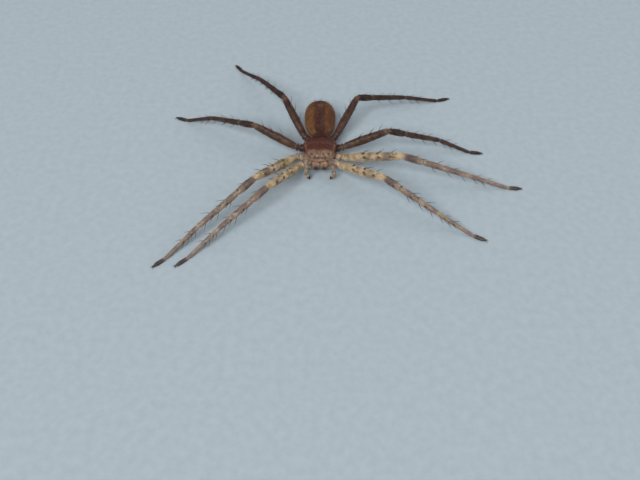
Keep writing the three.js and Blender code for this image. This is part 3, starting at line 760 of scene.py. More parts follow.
# %% Leg skins
ROOT_SUNK, TOE_ROUND = 0.7, 0.22
LEG_HAIR_LONG = ((0, 0.3), (4, 0.45), (10, 0.65), (24, 0.6), (36, 0.5), (46, 0.42), (60, 0.4))
BARE_HINGE, BARE_WIDE, BARE_ROOT = 0.9, 0.2, 0.3
LEG_SKINS = {}
for name, limb in LIMBS.items():
    rings, lie, lengths, turns = limb_rings(limb, ROOT_SUNK, TOE_ROUND)
    where = (rings.reshape(-1, 3), lengths.ravel(), turns.ravel())
    masks = [leg_brown(name, limb, *where), leg_pale(name, limb, *where), leg_black(limb, *where[:2])]
    marks = np.clip(np.stack(masks, 1), 0, 1)
    grow = 1.0 * (lengths > BARE_ROOT)
    for hinge in limb.hinges:
        grow *= 1 - BARE_HINGE * bump_at(lengths, hinge, BARE_WIDE)
    tone = np.full(lengths.shape, HIND_SHARE_WITH_SHADE[name[1]])
    LEG_SKINS[name] = ring_skin(rings, lie, curve_at(LEG_HAIR_LONG, lengths), grow, marks, tone)
    nodes = [f"leg_{name}_{part}" for part in ("coxa", "femur", "tibia", "foot")]
    add_skin(f"leg_{name}_skin", LEG_SKINS[name], leg_cuticle, "leg", nodes)
print("triangles in a leg skin:", len(LEG_SKINS["R1"]["tris"]))

# %% [markdown]
# ## Spines
# A spine is a hollow bristle of black cuticle in a soft cup, and it leans towards the foot. A
# plain cone would do from afar. Close up the cup and the bend are what make it a spider's, so
# each is a thin cone of eight rings, bent a little along the limb, with a swollen root.

# %% Spine cuticle: thick dark chitin, grown smooth
# It is smooth and almost black, so to the eye a spine is one thin glint along its length. The
# ribs of a real spine are too fine to show, and they are drawn at 0.06 mm.
SPINE_DARK, SPINE_WARM, SPINE_RIB_MM = "1a110c", "33221a", 0.06
spine_cuticle, tree, surface = new_material("spine_cuticle", {"IOR": CHITIN_IOR, "Roughness": 0.3})
coloured(tree, surface, mix(tree, speckle(tree, 0.5, 0.3, 0.7), SPINE_DARK, SPINE_WARM))
dented(tree, surface, speckle(tree, SPINE_RIB_MM, 0.3, 0.7, stretch=(1, 1, 0.3)), 0.01, 0.5)
print("spine cuticle nodes:", len(tree.nodes))

# %% One bristle
BRISTLE_SIDES = 6
BRISTLE_GIRTHS = (  # share along it, and girth there as a share of its thickness
    (-0.08, 1.0), (0.0, 1.7), (0.05, 1.36), (0.12, 1.0), (0.4, 0.84), (0.7, 0.55), (0.9, 0.28), (1.0, 0.08),
)
BRISTLE_BEND = 0.25  # how far its tip bends along the limb, as a share of its length


def bristle(root, out, along, long, thick, lean):
    """A tapering bent bristle that leans by some degrees from out towards along."""
    lean = math.radians(lean)
    way = unit(out * math.cos(lean) + along * math.sin(lean))
    share, girth = np.array(BRISTLE_GIRTHS).T
    bend = BRISTLE_BEND * long * np.maximum(share, 0) ** 2
    line = root + way * (share * long)[:, None] + unit(along - way * (along @ way)) * bend[:, None]
    across = unit(np.cross(way, along))
    third = np.cross(way, across)
    turns = np.arange(BRISTLE_SIDES) * 2 * math.pi / BRISTLE_SIDES
    ring = across * np.cos(turns)[:, None] + third * np.sin(turns)[:, None]
    skin = ring_skin(line[:, None] + ring[None] * (girth * thick)[:, None, None])
    skin["points"][:, 2] = np.clip(skin["points"][:, 2], SKIN_CLEAR, CEILING)
    return skin


# %% Spines of the legs
SPINE_LONG, SPINE_THICK, SPINE_LEAN = 2.3, 0.085, 42
rng = np.random.default_rng(3)
for name, limb in LIMBS.items():
    spines = []
    for i, share, around, size in spine_places(limb):
        long = SPINE_LONG * size * rng.uniform(0.86, 1.14)
        lean = SPINE_LEAN * rng.uniform(0.85, 1.15)
        spines.append(bristle(*limb.skin_at(i, share, around), long, SPINE_THICK, lean))
    add_piece(f"leg_{name}_spines", *joined(spines), spine_cuticle, "leg")
print("spines on all legs:", len(spines) * len(LIMBS))

# %% [markdown]
# ## Claws
# A pair of hooked claws ends each foot. They spread a little and curve down to the floor. They
# could be drawn out of the skin of the foot, but they are harder and darker than it, so they stay
# pieces of their own.

# %% Claws
CLAW_THICK, CLAW_LONG, CLAW_ROWS, CLAW_SIDES = 0.11, 0.95, 12, 10
CLAW_SPREAD, CLAW_HOOK, CLAW_NARROW = 0.3, 0.42, 0.7
CLAW_APART, CLAW_RAISED, CLAW_SUNK = 0.12, 0.06, 0.1


def claw(start, way, down, aside):
    """A curved claw from a point, along a way, bending down and aside."""
    share = np.linspace(0, 1, CLAW_ROWS)
    line = start + way * (share * CLAW_LONG)[:, None]
    line = line + aside * (share * CLAW_LONG * CLAW_SPREAD)[:, None]
    line = line + down * (CLAW_LONG * CLAW_HOOK * share**2.2)[:, None]
    girth = CLAW_THICK * np.sqrt(np.clip(1 - share**1.6, 0.01, 1))
    turns = np.arange(CLAW_SIDES) * 2 * math.pi / CLAW_SIDES
    flat = unit(np.cross(way, down)) * np.cos(turns)[:, None] * CLAW_NARROW
    ring = flat + down * np.sin(turns)[:, None]
    skin = ring_skin(line[:, None] + ring[None] * girth[:, None, None])
    skin["points"][:, 2] = np.maximum(skin["points"][:, 2], SKIN_CLEAR)
    return skin


for name, limb in LIMBS.items():
    centre, way = limb.line_at(limb.total - CLAW_SUNK)
    front, back = (v[0] for v in limb.cross(way[None]))
    start, ahead = centre + back * CLAW_RAISED, unit(way + back * 0.1)
    pair = [claw(start + front * CLAW_APART * s, ahead, -back, front * s) for s in (-1, 1)]
    add_piece(f"leg_{name}_claws", *joined(pair), spine_cuticle, "foot")
print("claws:", 2 * len(LIMBS))

# %% [markdown]
# ## Palps
# Two palps stand beside the jaws like short legs. In a female they are slim, light brown, and dark
# at the tip. They are the same kind of limb as a leg, so the same functions make them. But they
# bend so sharply that each ring is carried on from the one before it, which keeps the skin from
# twisting.

# %% Palps
PALP_JOINTS = (
    (2.75, -5.15, 3.45), (3.6, -6.1, 4.6), (3.95, -6.9, 4.4), (3.75, -7.3, 2.6), (3.0, -6.9, 0.7),
)
PALP_STATIONS = (  # reach, share, half width, half height
    (0, -0.15, 0.3, 0.32), (0, 0.3, 0.46, 0.5), (0, 0.7, 0.48, 0.52), (1, 0, 0.44, 0.46),
    (1, 0.5, 0.49, 0.5), (2, 0, 0.46, 0.48), (2, 0.5, 0.5, 0.54), (3, 0, 0.42, 0.44),
    (3, 0.3, 0.52, 0.54), (3, 0.75, 0.44, 0.46), (3, 1, 0.2, 0.2),
)
PALP_SPINES = ((0, 0.5, 0), (2, 0.5, 70), (2, 0.5, -70))  # reach, share, degrees round
PALP_SPINE_LONG, PALP_SPINE_THICK = 1.1, 0.05
PALP_CLEAR, PALP_SUNK, PALP_ROUND, PALP_HAIR_LONG = 0.2, 0.35, 0.2, 0.45
PALP_SKINS = {}


def palp_marks(limb, points, lengths):
    """Brown, pale and black masks of a palp: mottled, pale at its hinges and dark at its tip."""
    tip = limb.share(3, lengths)
    mottle = noise_at(points, 0.5, 17).reshape(lengths.shape)
    brown = sum(0.7 * bump_at(lengths, hinge - 0.35, 0.16) for hinge in limb.hinges)
    # Before its tip the palp is darker all over, partly its own colour and partly painted shade.
    brown = np.clip(brown + 0.8 * between(mottle, 0.45, 0.75) + 0.3 * between(-tip, -0.3, 0.2), 0, 1)
    pale = sum(0.6 * bump_at(lengths, hinge, 0.2) for hinge in limb.hinges)
    return np.stack([brown, pale, 0.85 * between(tip, 0.1, 0.5)], 2)


for letter, side in SIDES:
    joints = np.array([(side * x, y, z) for x, y, z in PALP_JOINTS])
    limb = Limb(joints, PALP_STATIONS, side, carried=True, clear=PALP_CLEAR)
    limb.hinges = list(limb.stops[1:4])
    rings, lie, lengths, _ = limb_rings(limb, PALP_SUNK, PALP_ROUND)
    marks, grow = palp_marks(limb, rings.reshape(-1, 3), lengths), between(lengths, 0.2, 0.5)
    PALP_SKINS[letter] = ring_skin(rings, lie, np.full(lengths.shape, PALP_HAIR_LONG), grow, marks)
    nodes = (f"palp_{letter}_arm", f"palp_{letter}_tip")
    add_skin(f"palp_{letter}_skin", PALP_SKINS[letter], leg_cuticle, "leg", nodes)
    size = (PALP_SPINE_LONG, PALP_SPINE_THICK, SPINE_LEAN)
    spines = [bristle(*limb.skin_at(*place), *size) for place in PALP_SPINES]
    add_piece(f"palp_{letter}_spines", *joined(spines), spine_cuticle, "leg")
print("palp length:", round(limb.total, 1))

# %% [markdown]
# ## The back plate
# The carapace is one hard plate over head and thorax. A narrow pit in the middle of its rear is
# where the stomach's muscles pull from inside, and furrows run from it towards the legs and along
# both sides of the head. They could be carved freely, but here the plate is a grid over the
# solid's own section, pressed in and raised by a depth worked out for each point. So the furrows
# are real shape, and they lie where the numbers say.

# %% The plate's section
PLATE_WIDTHS = (
    (0, 0.5), (0.08, 0.66), (0.16, 0.78), (0.3, 0.89), (0.45, 0.97), (0.6, 1), (0.78, 0.93),
    (0.92, 0.68), (1, 0.5),
)
PLATE_RISES = ((0, 0.6), (0.1, 0.82), (0.3, 0.95), (0.55, 1), (0.75, 0.9), (0.92, 0.6), (1, 0.42))
BLUNT_ENDS, CROWN = 8, 0.42  # the higher, the squarer its ends; the lower, the flatter its top


def plate_section(y):
    """The plate's half width and rise at a place along it."""
    share = (y - PLATE_MIDDLE) / PLATE_LONG + 0.5
    close = np.sqrt(np.maximum(1 - np.clip(2 * share - 1, -1, 1) ** BLUNT_ENDS, 0))
    wide = 0.5 * PLATE_WIDE * close * curve_at(PLATE_WIDTHS, share)
    return wide, PLATE_RISE * close * curve_at(PLATE_RISES, share)


def plate_top(x, y):
    """The height of the solid's top over a point."""
    wide, rise = plate_section(y)
    c = np.clip(np.abs(x) / np.maximum(wide, 1e-6), 0, 1)
    return PLATE_FLOOR + rise * (1 - c * c) ** CROWN


print("height of the plate's middle:", round(float(plate_top(0, PLATE_MIDDLE)), 2))

# %% Places of the eyes
EYES = {  # place across, place along, radius
    "front_inner": (0.52, -4.44, 0.23),
    "front_outer": (1.5, -4.28, 0.31),
    "rear_inner": (0.76, -3.65, 0.22),
    "rear_outer": (2.3, -3.4, 0.31),
}
EYE_SUNK, SLOPE_STEP = 0.15, 0.15


def eye_place(eye, side):
    """An eye's centre, the direction it looks in and its radius."""
    x, y, radius = EYES[eye]
    ahead, behind = plate_top(x, y + SLOPE_STEP), plate_top(x, y - SLOPE_STEP)
    outer, inner = plate_top(x + SLOPE_STEP, y), plate_top(x - SLOPE_STEP, y)
    slope_x, slope_y = (outer - inner) / (2 * SLOPE_STEP), (ahead - behind) / (2 * SLOPE_STEP)
    normal = unit(np.array([-side * slope_x, -slope_y, 1.0]))
    return np.array([side * x, y, plate_top(x, y)]) - normal * EYE_SUNK * radius, normal, radius


print("outer rear eye looks along", eye_place("rear_outer", 1)[1].round(2))

# %% Furrows and pit
# Each furrow is a line of two points on one half of the plate.
PIT = (0, -0.7, 0, 0.6)
MID_LINE = (0, -2.4, 0, -1.0)
HEAD_FURROW = (0.25, -0.3, 3.3, -2.3)
LEG_FURROWS = ((0.4, 0.1, 4.3, -1.0), (0.4, 0.5, 4.6, 0.7), (0.35, 1.0, 3.8, 2.4), (0.2, 1.4, 1.9, 3.7))
HEAD_AT, HEAD_HALF_WIDE, HEAD_HALF_LONG = -2.4, 2.4, 1.9


def off_line(x, y, ax, ay, bx, by):
    """Distance from points to a line between two points, and the share along it."""
    dx, dy = bx - ax, by - ay
    t = np.clip(((x - ax) * dx + (y - ay) * dy) / (dx * dx + dy * dy), 0, 1)
    return np.hypot(x - ax - t * dx, y - ay - t * dy), t


def plate_relief(x, y):
    """How far the plate is raised or pressed in, and how deep in a furrow a point is."""
    x = np.abs(x)
    off, _ = off_line(x, y, *PIT)
    furrow = 0.3 * bump_at(off, 0, 0.16)
    off, t = off_line(x, y, *HEAD_FURROW)
    furrow = furrow + 0.16 * bump_at(off, 0, 0.26) * (0.5 + 0.5 * t)
    for line in LEG_FURROWS:
        off, t = off_line(x, y, *line)
        furrow = furrow + 0.1 * bump_at(off, 0, 0.25) * between(t, 0, 0.2) * (1 - between(t, 0.75, 1))
    head = 0.06 * bump_at(np.hypot(x / HEAD_HALF_WIDE, (y - HEAD_AT) / HEAD_HALF_LONG), 0, 0.8)
    return head - furrow, furrow


print("depth of the pit:", round(float(plate_relief(0, 0)[1]), 2))

# %% [markdown]
# ### Cuticle of the plate
# The plate is thicker and darker than the legs: dark red-brown cuticle that pales to tan at the
# head, with a pale rim in front. The two colours could meet in a hard line, but on the animal
# streaks of one run into the other, so the tone between them is streaked too.

# %% Plate cuticle: thick tanned chitin, pitted by hair roots
# The pits break its shine, so to the eye it is satin with small soft lights. They are 0.03 mm
# apart on the real plate and are drawn at 0.12 mm so that they show.
PLATE_BROWN, PLATE_RED, PLATE_FURROW, PLATE_TAN = "47241c", "552e24", "22110c", "8e7259"
PLATE_STREAK, PLATE_PALE = "7a5a42", "c9a888"
PIT_MM, PIT_DEEP = 0.12, 0.03
plate_shader = {"IOR": CHITIN_IOR, "Roughness": 0.42, "Specular IOR Level": 0.35}
plate_cuticle, tree, surface = new_material("plate_cuticle", plate_shader)
plain = mix(tree, speckle(tree, 1.1, 0.36, 0.64), PLATE_BROWN, PLATE_RED)
face = mix(tree, speckle(tree, 0.35, 0.35, 0.65, stretch=(1, 0.18, 0.6)), PLATE_STREAK, PLATE_TAN)
coloured(tree, surface, marked_colour(tree, plain, PLATE_FURROW, PLATE_PALE, SPOT_BLACK, face))
dented(tree, surface, speckle(tree, PIT_MM, 0.3, 0.75, detail=4), PIT_DEEP, 0.6)
print("plate cuticle nodes:", len(tree.nodes))

# %% The plate as a grid
PLATE_ROWS, PLATE_SIDES = 120, 150
PLATE_IN, TOP_DOWN = 0.03, 0.05  # how far rim and floor are set in, and the top brought down
ys = PLATE_MIDDLE - 0.5 * PLATE_LONG * np.cos(math.pi * np.linspace(0.012, 0.988, PLATE_ROWS))
turns = np.arange(PLATE_SIDES) * 2 * math.pi / PLATE_SIDES
wide, rise = plate_section(ys)
sine = np.broadcast_to(np.sin(turns), (PLATE_ROWS, PLATE_SIDES))
x, y = (wide[:, None] - PLATE_IN) * np.cos(turns), np.broadcast_to(ys[:, None], sine.shape)
# The underside is flat, and the chest hides it.
dome = np.where(sine > 0, rise[:, None] * np.abs(sine) ** (2 * CROWN), 0)
on_top = between(sine, 0.05, 0.4)
relief, furrow = plate_relief(x, y)
z = PLATE_FLOOR + PLATE_IN + dome - TOP_DOWN * on_top + relief * on_top
print("rise of the plate's skin:", round(z.max() - z.min(), 2))

# %% Rims round the eyes


def with_eye_rims(points):
    """Raises a rim round each eye, and gives masks of the dark at the eyes and the pale beyond."""
    dark, pale = np.zeros(len(points)), np.zeros(len(points))
    for eye, side in itertools.product(EYES, (-1, 1)):
        centre, normal, radius = eye_place(eye, side)
        off = np.linalg.norm(points - centre, axis=1)
        raised = 0.11 * bump_at(off, radius * 1.18, 0.13) - 0.1 * bump_at(off, 0, radius * 0.8)
        points = points + normal * (raised * (points[:, 2] > PLATE_FLOOR + 0.2))[:, None]
        dark = np.maximum(dark, bump_at(off, radius, 0.2))
        pale = np.maximum(pale, bump_at(off, radius * 1.9, 0.16))
    return points, dark, pale


flat, eye_dark, eye_pale = with_eye_rims(np.stack([x, y, z], 2).reshape(-1, 3))
eye_dark, eye_pale = eye_dark.reshape(x.shape), eye_pale.reshape(x.shape)
print("points darkened at the eyes:", int((eye_dark > 0.5).sum()))

# %% Markings of the plate
mottle = noise_at(flat, 0.8, 4).reshape(x.shape)
streak = between(noise_at(flat * [1, 0.16, 0.5], 0.28, 12), 0.45, 0.75).reshape(x.shape)
tan_face = between(-y + 0.2 * np.abs(x) + 0.5 * (mottle - 0.5) - 0.5 * streak, 2.1, 3.2)
mid_line, _ = off_line(x, y, *MID_LINE)
outward = np.abs(x) / np.maximum(wide[:, None], 0.01)
margin, ahead = between(outward, 0.9, 0.99), between(-y, 1.6, 2.8)
under_eyes = between(-y, 4.5, 4.66) * between(z, 5.25, 5.5)
brown = np.clip(furrow / 0.14, 0, 1) * 0.75 + 0.35 * margin * (1 - ahead)
brown = brown + 0.25 * between(mottle, 0.5, 0.8) * (1 - tan_face)
brown = brown + 0.75 * streak * tan_face + 0.7 * bump_at(mid_line, 0, 0.16)
pale = 0.75 * under_eyes + 0.3 * bump_at(outward, 0.86, 0.04) * (1 - tan_face)
pale = pale + 0.6 * margin * ahead + 0.4 * eye_pale
marks = np.clip(np.stack([brown, pale, 0.9 * eye_dark], 2), 0, 1)
print("share of the plate that is tan:", round(float(tan_face.mean()), 2))

# %% The plate's skin
# Its hair runs forward in front of a parting and back behind it. It leaves the eyes bare and is
# thin in the furrows.
HAIR_PARTING = 0.2
lie = unit(np.stack([0.07 * x, np.where(y < HAIR_PARTING, -1.0, 1.0), np.zeros_like(x)], 2))
bare_eyes = 1 - np.clip(eye_dark * 1.3, 0, 1)
grow = between(sine, -0.1, 0.15) * bare_eyes * (1 - 0.8 * np.clip(furrow / 0.2, 0, 1))
coat = 0.38 + 0.16 * tan_face + 0.2 * under_eyes
PLATE_SKIN = ring_skin(flat.reshape(*x.shape, 3), lie, coat, grow, marks, tan_face)
add_skin("carapace_plate", PLATE_SKIN, plate_cuticle, "carapace", ["carapace"])
print("triangles in the plate:", len(PLATE_SKIN["tris"]))

# %% [markdown]
# ## Eyes
# Eight simple eyes stand in two rows. A simple eye is a clear lens in a black cup, so each reads as
# a black bead with one sharp glint. Lens and cup could be two pieces, but the cup can't be seen
# past the lens. So each eye is one dark polished ball, turned to look out along the plate's
# normal, and a little flatter that way.

# %% Eye lens: clear cuticle over a black cup, polished
# It is as smooth as glass, so to the eye it has one small hard glint. Its warmer edge is a painted rim of
# light, redder where the ball turns away from the view.
EYE_DARK, EYE_PAINTED_RIM = "080605", "2a1a12"
eye_shader = {"IOR": 1.5, "Roughness": 0.04, "Coat Weight": 0.6, "Coat Roughness": 0.03}
eye_lens, tree, surface = new_material("eye_lens", eye_shader)
facing = put(tree, "LayerWeight", {"Blend": 0.35}).outputs["Facing"]
coloured(tree, surface, mix(tree, facing, EYE_DARK, EYE_PAINTED_RIM))
print("eye lens nodes:", len(tree.nodes))

# %% Eyes
EYE_ROWS, EYE_SIDES, EYE_POLE = 18, 24, 0.06
EYE_WIDE, EYE_DEEP = 0.99, 0.96  # shares of the solid's radius


def eyeball(centre, normal, radius):
    """A ball whose poles lie along the direction it looks in."""
    across = unit(np.cross(normal, [0.0, 1.0, 0.0]))
    third = np.cross(normal, across)
    polar = np.linspace(EYE_POLE, math.pi - EYE_POLE, EYE_ROWS)
    turns = np.arange(EYE_SIDES) * 2 * math.pi / EYE_SIDES
    ring = across * np.cos(turns)[:, None] + third * np.sin(turns)[:, None]
    out = radius * EYE_WIDE * np.sin(polar)[:, None, None] * ring[None]
    return ring_skin(centre + out + normal * (radius * EYE_DEEP * np.cos(polar))[:, None, None])


for eye, (letter, side) in itertools.product(EYES, SIDES):
    skin, node = eyeball(*eye_place(eye, side)), f"eye_{letter}_{eye}"
    add_piece(node + "_lens", skin["points"], skin["tris"], eye_lens, "eye", [node])
print("eyes:", 2 * len(EYES), "largest", 2 * EYES["rear_outer"][2], "mm across")

# %% [markdown]
# ## Jaws and fangs
# The chelicerae hang under the eyes like two stout eggs, dark and glossy with bristles in front.
# A curved fang folds in under each. The fang is the hardest cuticle on the animal, black and
# polished, paling to red-brown where it is thin. Here that red-brown edge is painted, and it turns
# redder where the fang turns away from the view. Both could be sculpted. A row of rings through a
# few knots gives the same round forms from a handful of sizes.

# %% Jaw cuticle: thick chitin, smooth between the roots of its bristles
# It shines more than the legs do, with long soft lights. Its grain is drawn at 0.15 mm.
JAW_DARK, JAW_WARM, JAW_BROWN, JAW_PALE = "40261a", "5a3826", "26140d", "b98d70"
JAW_GRAIN_MM, JAW_GRAIN_DEEP = 0.15, 0.02
jaw_cuticle, tree, surface = new_material("jaw_cuticle", {"IOR": CHITIN_IOR, "Roughness": 0.28})
plain = mix(tree, speckle(tree, 0.6, 0.35, 0.65), JAW_DARK, JAW_WARM)
coloured(tree, surface, marked_colour(tree, plain, JAW_BROWN, JAW_PALE, SPOT_BLACK, plain))
grain = speckle(tree, JAW_GRAIN_MM, 0.3, 0.7, stretch=(1, 1, 0.25))
dented(tree, surface, grain, JAW_GRAIN_DEEP, 0.6)
print("jaw cuticle nodes:", len(tree.nodes))

# %% Fang cuticle: the thickest chitin, worn smooth
# It is polished by use, so to the eye it is black glass. Its red-brown edge is a painted rim that follows
# the view, in place of light shining through the thin edge.
FANG_BLACK, FANG_PAINTED_RIM = "120a07", "4a2114"
FANG_GRAIN_MM, FANG_GRAIN_DEEP = 0.1, 0.004
fang_cuticle, tree, surface = new_material("fang_cuticle", {"IOR": CHITIN_IOR, "Roughness": 0.12})
facing = put(tree, "LayerWeight", {"Blend": 0.4}).outputs["Facing"]
coloured(tree, surface, mix(tree, facing, FANG_BLACK, FANG_PAINTED_RIM))
grain = speckle(tree, FANG_GRAIN_MM, 0.3, 0.7, stretch=(1, 1, 0.2))
dented(tree, surface, grain, FANG_GRAIN_DEEP, 0.5)
print("fang cuticle nodes:", len(tree.nodes))

# %% Round forms through knots
LOBE_IN, FINE_IN = 0.03, 0.02  # how far a large or a fine lobe lies inside its solid


def lobe_rings(knots, sides, rows, inside=LOBE_IN):
    """Rings of a round form through knots of (x, y, z, half wide, half high), and their lie."""
    knots = np.array(knots, float)
    share = np.linspace(0, 1, len(knots))
    t = 0.5 - 0.5 * np.cos(np.linspace(0, math.pi, rows))
    line = np.stack([curve_at(list(zip(share, knots[:, i])), t) for i in range(3)], 1)
    wide, high = (curve_at(list(zip(share, knots[:, i])), t) - inside for i in (3, 4))
    along = unit(np.gradient(line, axis=0))
    across = unit(np.array([1.0, 0, 0]) - along * along[:, :1])
    third = np.cross(along, across)
    turns = np.arange(sides) * 2 * math.pi / sides
    rings = line[:, None] + across[:, None] * (wide[:, None] * np.cos(turns))[..., None]
    rings = rings + third[:, None] * (high[:, None] * np.sin(turns))[..., None]
    return rings, np.broadcast_to(along[:, None], rings.shape)


# %% Jaws
JAW_TOP, JAW_BOTTOM, JAW_HALF, JAW_APART, JAW_MIDDLE = 4.8, 2.4, 1.0, 0.15, -4.6
JAW_KNOTS = (  # towards the middle, back, share of the way down, half wide, half deep
    (0, 0.14, -0.06, 0.3, 0.25), (0, 0.1, 0.0, 0.74, 0.5), (0, 0.02, 0.14, 0.94, 0.7),
    (0, 0, 0.4, 1.0, 0.78), (0, 0.1, 0.72, 0.9, 0.7), (0.04, 0.24, 0.94, 0.7, 0.52),
    (0.06, 0.3, 1.0, 0.34, 0.3),
)
MARK_DOWN = 1.05  # how far below the top of a jaw its dark mark lies


def jaw_marks(rings, x, front):
    """Brown and pale masks of a jaw: a dark middle with a pale ring, and a dark lower end."""
    z = rings[..., 2]
    off = np.hypot(rings[..., 0] - x, 1.1 * (z - JAW_TOP + MARK_DOWN))
    brown = 0.9 * bump_at(off, 0, 0.5) * front + 0.9 * between(JAW_BOTTOM + 1.1 - z, 0, 0.7)
    pale = 0.75 * between(off, 0.5, 0.85) * between(z, JAW_BOTTOM + 0.5, JAW_BOTTOM + 1.1)
    return np.clip(np.stack([brown, pale, np.zeros_like(pale)], 2), 0, 1)


print("knots of a jaw:", len(JAW_KNOTS))

# %% Jaws and fangs
GAP = 0.3  # between neighbouring solids
FANG_KNOTS = (  # towards the middle, back, up, half girth
    (0.05, 0, 0.45, 0.24), (0.05, 0, 0.1, 0.3), (0.08, 0.02, -0.26, 0.26), (0.25, 0.14, -0.56, 0.18),
    (0.48, 0.3, -0.71, 0.06),
)
JAW_DROP = JAW_BOTTOM - JAW_TOP
JAW_SKINS = {}
fang_y, fang_z = JAW_MIDDLE + 0.3, JAW_BOTTOM - 1.3 * GAP
for letter, side in SIDES:
    middle, node = side * (JAW_APART + JAW_HALF), f"chelicera_{letter}"
    knots = [
        (middle - side * inward, JAW_MIDDLE + back, JAW_TOP + JAW_DROP * down, wide * JAW_HALF, deep)
        for inward, back, down, wide, deep in JAW_KNOTS
    ]
    rings, lie = lobe_rings(knots, 40, 44)
    front = between(JAW_MIDDLE - rings[..., 1], -0.1, 0.5)
    marks = jaw_marks(rings, middle, front)
    JAW_SKINS[letter] = ring_skin(rings, lie, 0.4 + 0.35 * front, 0.25 + front, marks)
    add_skin(node + "_skin", JAW_SKINS[letter], jaw_cuticle, "jaw", [node])
    knots = [
        (middle - side * inward, fang_y + back, fang_z + up, girth, girth)
        for inward, back, up, girth in FANG_KNOTS
    ]
    skin, node = ring_skin(lobe_rings(knots, 20, 26, FINE_IN)[0]), f"fang_{letter}"
    add_piece(node + "_hook", skin["points"], skin["tris"], fang_cuticle, "fang", [node])
print("triangles in a jaw:", len(JAW_SKINS["R"]["tris"]), "and in a fang:", len(skin["tris"]))

# %% [markdown]
# ## The underside
# Below the plate lie the breastplate, the lobes beside the mouth, the lip and the narrow waist that
# carries the abdomen, all joined by soft skin. They could be joined face by face. Here they are
# separate lumps at first, and one voxel remesh melts them into a single skin, which is how the
# soft parts meet on the animal.

# %% Underside cuticle: thin tan chitin, soft between its plates
# It is thin and hardly waxed, so to the eye it is matt. Its pits are drawn at 0.12 mm, as on the
# back plate.
UNDER_TAN, UNDER_PALE, UNDER_EDGE, UNDER_RIM, UNDER_FAR = "8d7250", "a0835d", "4e3626", "c4a582", "7a5f45"
under_cuticle, tree, surface = new_material("under_cuticle", {"IOR": CHITIN_IOR, "Roughness": 0.52})
plain = mix(tree, speckle(tree, 0.8, 0.36, 0.64), UNDER_TAN, UNDER_PALE)
coloured(tree, surface, marked_colour(tree, plain, UNDER_EDGE, UNDER_RIM, SPOT_BLACK, UNDER_FAR))
dented(tree, surface, speckle(tree, PIT_MM, 0.3, 0.75, detail=4), PIT_DEEP, 0.6)
print("underside cuticle nodes:", len(tree.nodes))

# %% Melting lumps together


def melted(lumps, voxel, smooth):
    """One closed surface round overlapping skins, from a voxel remesh, as points and triangles."""
    points, tris = joined([ring_skin(rings) for rings in lumps])
    mesh = bpy.data.meshes.new("lumps")
    mesh.from_pydata(points.tolist(), [], tris.tolist())
    lump = bpy.data.objects.new("lumps", mesh)
    bpy.context.scene.collection.objects.link(lump)
    remesh = lump.modifiers.new("melt", "REMESH")
    remesh.mode, remesh.voxel_size, remesh.use_smooth_shade = "VOXEL", voxel, True
    soften = lump.modifiers.new("soften", "SMOOTH")
    soften.factor, soften.iterations = 0.5, smooth
    lump.modifiers.new("thirds", "TRIANGULATE")
    made = lump.evaluated_get(bpy.context.evaluated_depsgraph_get()).to_mesh()
    out = np.empty(3 * len(made.vertices), np.float32)
    made.vertices.foreach_get("co", out)
    corners = np.empty(3 * len(made.polygons), np.int32)
    made.loops.foreach_get("vertex_index", corners)
    bpy.data.objects.remove(lump)
    return out.reshape(-1, 3).astype(float), corners.reshape(-1, 3)


def wrapped(points, tris, coat, grow, marks):
    """A skin from loose points, unwrapped round the body's long axis, its hair lying back."""
    middle = points.mean(0)
    angle = np.arctan2(points[:, 0] - middle[0], points[:, 2] - middle[2]) / (2 * math.pi) + 0.5
    low, high = points[:, 1].min(), points[:, 1].max()
    flat = np.stack([(points[:, 1] - low) / (high - low), angle], 1)[tris]
    # Faces across the seam keep together at its far side.
    split = (flat[:, :, 1].max(1) - flat[:, :, 1].min(1)) > 0.5
    flat[split, :, 1] = np.where(flat[split, :, 1] < 0.5, flat[split, :, 1] + 1, flat[split, :, 1])
    unwrap = UNWRAP_EDGE + UNWRAP_WIDE * np.minimum(flat, 1)
    lie = np.broadcast_to([0.0, 1.0, 0.0], points.shape)
    skin = {"points": points, "tris": tris, "unwrap": unwrap, "lie": lie, "coat": coat}
    skin.update(grow=grow, marks=marks, tone=np.zeros(len(points)))
    return turned_out(skin)


# %% Lumps of the underside
CHEST_LONG, CHEST_WIDE, CHEST_MIDDLE, CHEST_BOTTOM = 6.4, 4.9, 0.45, 2.0
CHEST_IN, CHEST_LOW, CHEST_NARROW = 0.06, 0.45, 0.1  # set in, share below its rim, less behind
CHEST_ROWS, CHEST_SIDES = 50, 64
ABDOMEN_FRONT, ABDOMEN_MIDDLE, ABDOMEN_LONG = 4.7, 6.05, 14.6
WAIST = ((0, 3.2, 4.1, 0.62, 0.55), (0, 4.1, 4.2, 0.58, 0.46), (0, ABDOMEN_FRONT + 0.5, 4.7, 0.6, 0.46))
LIP = ((0, -2.4, 2.75, 0.4, 0.4), (0, -3.1, 2.6, 0.38, 0.4), (0, -3.42, 2.55, 0.26, 0.28))
MOUTH_LOBE = (
    (1.0, -2.3, 2.5, 0.36, 0.42), (1.0, -2.95, 2.27, 0.45, 0.44), (0.96, -3.25, 2.2, 0.43, 0.37),
    (0.85, -3.47, 2.1, 0.24, 0.2),
)
PALP_NECK = (
    (1.1, -2.95, 2.35, 0.26, 0.28), (1.84, -3.48, 2.42, 0.24, 0.24), (2.56, -4.3, 2.5, 0.25, 0.25),
    (2.72, -5.1, 3.38, 0.27, 0.3),
)


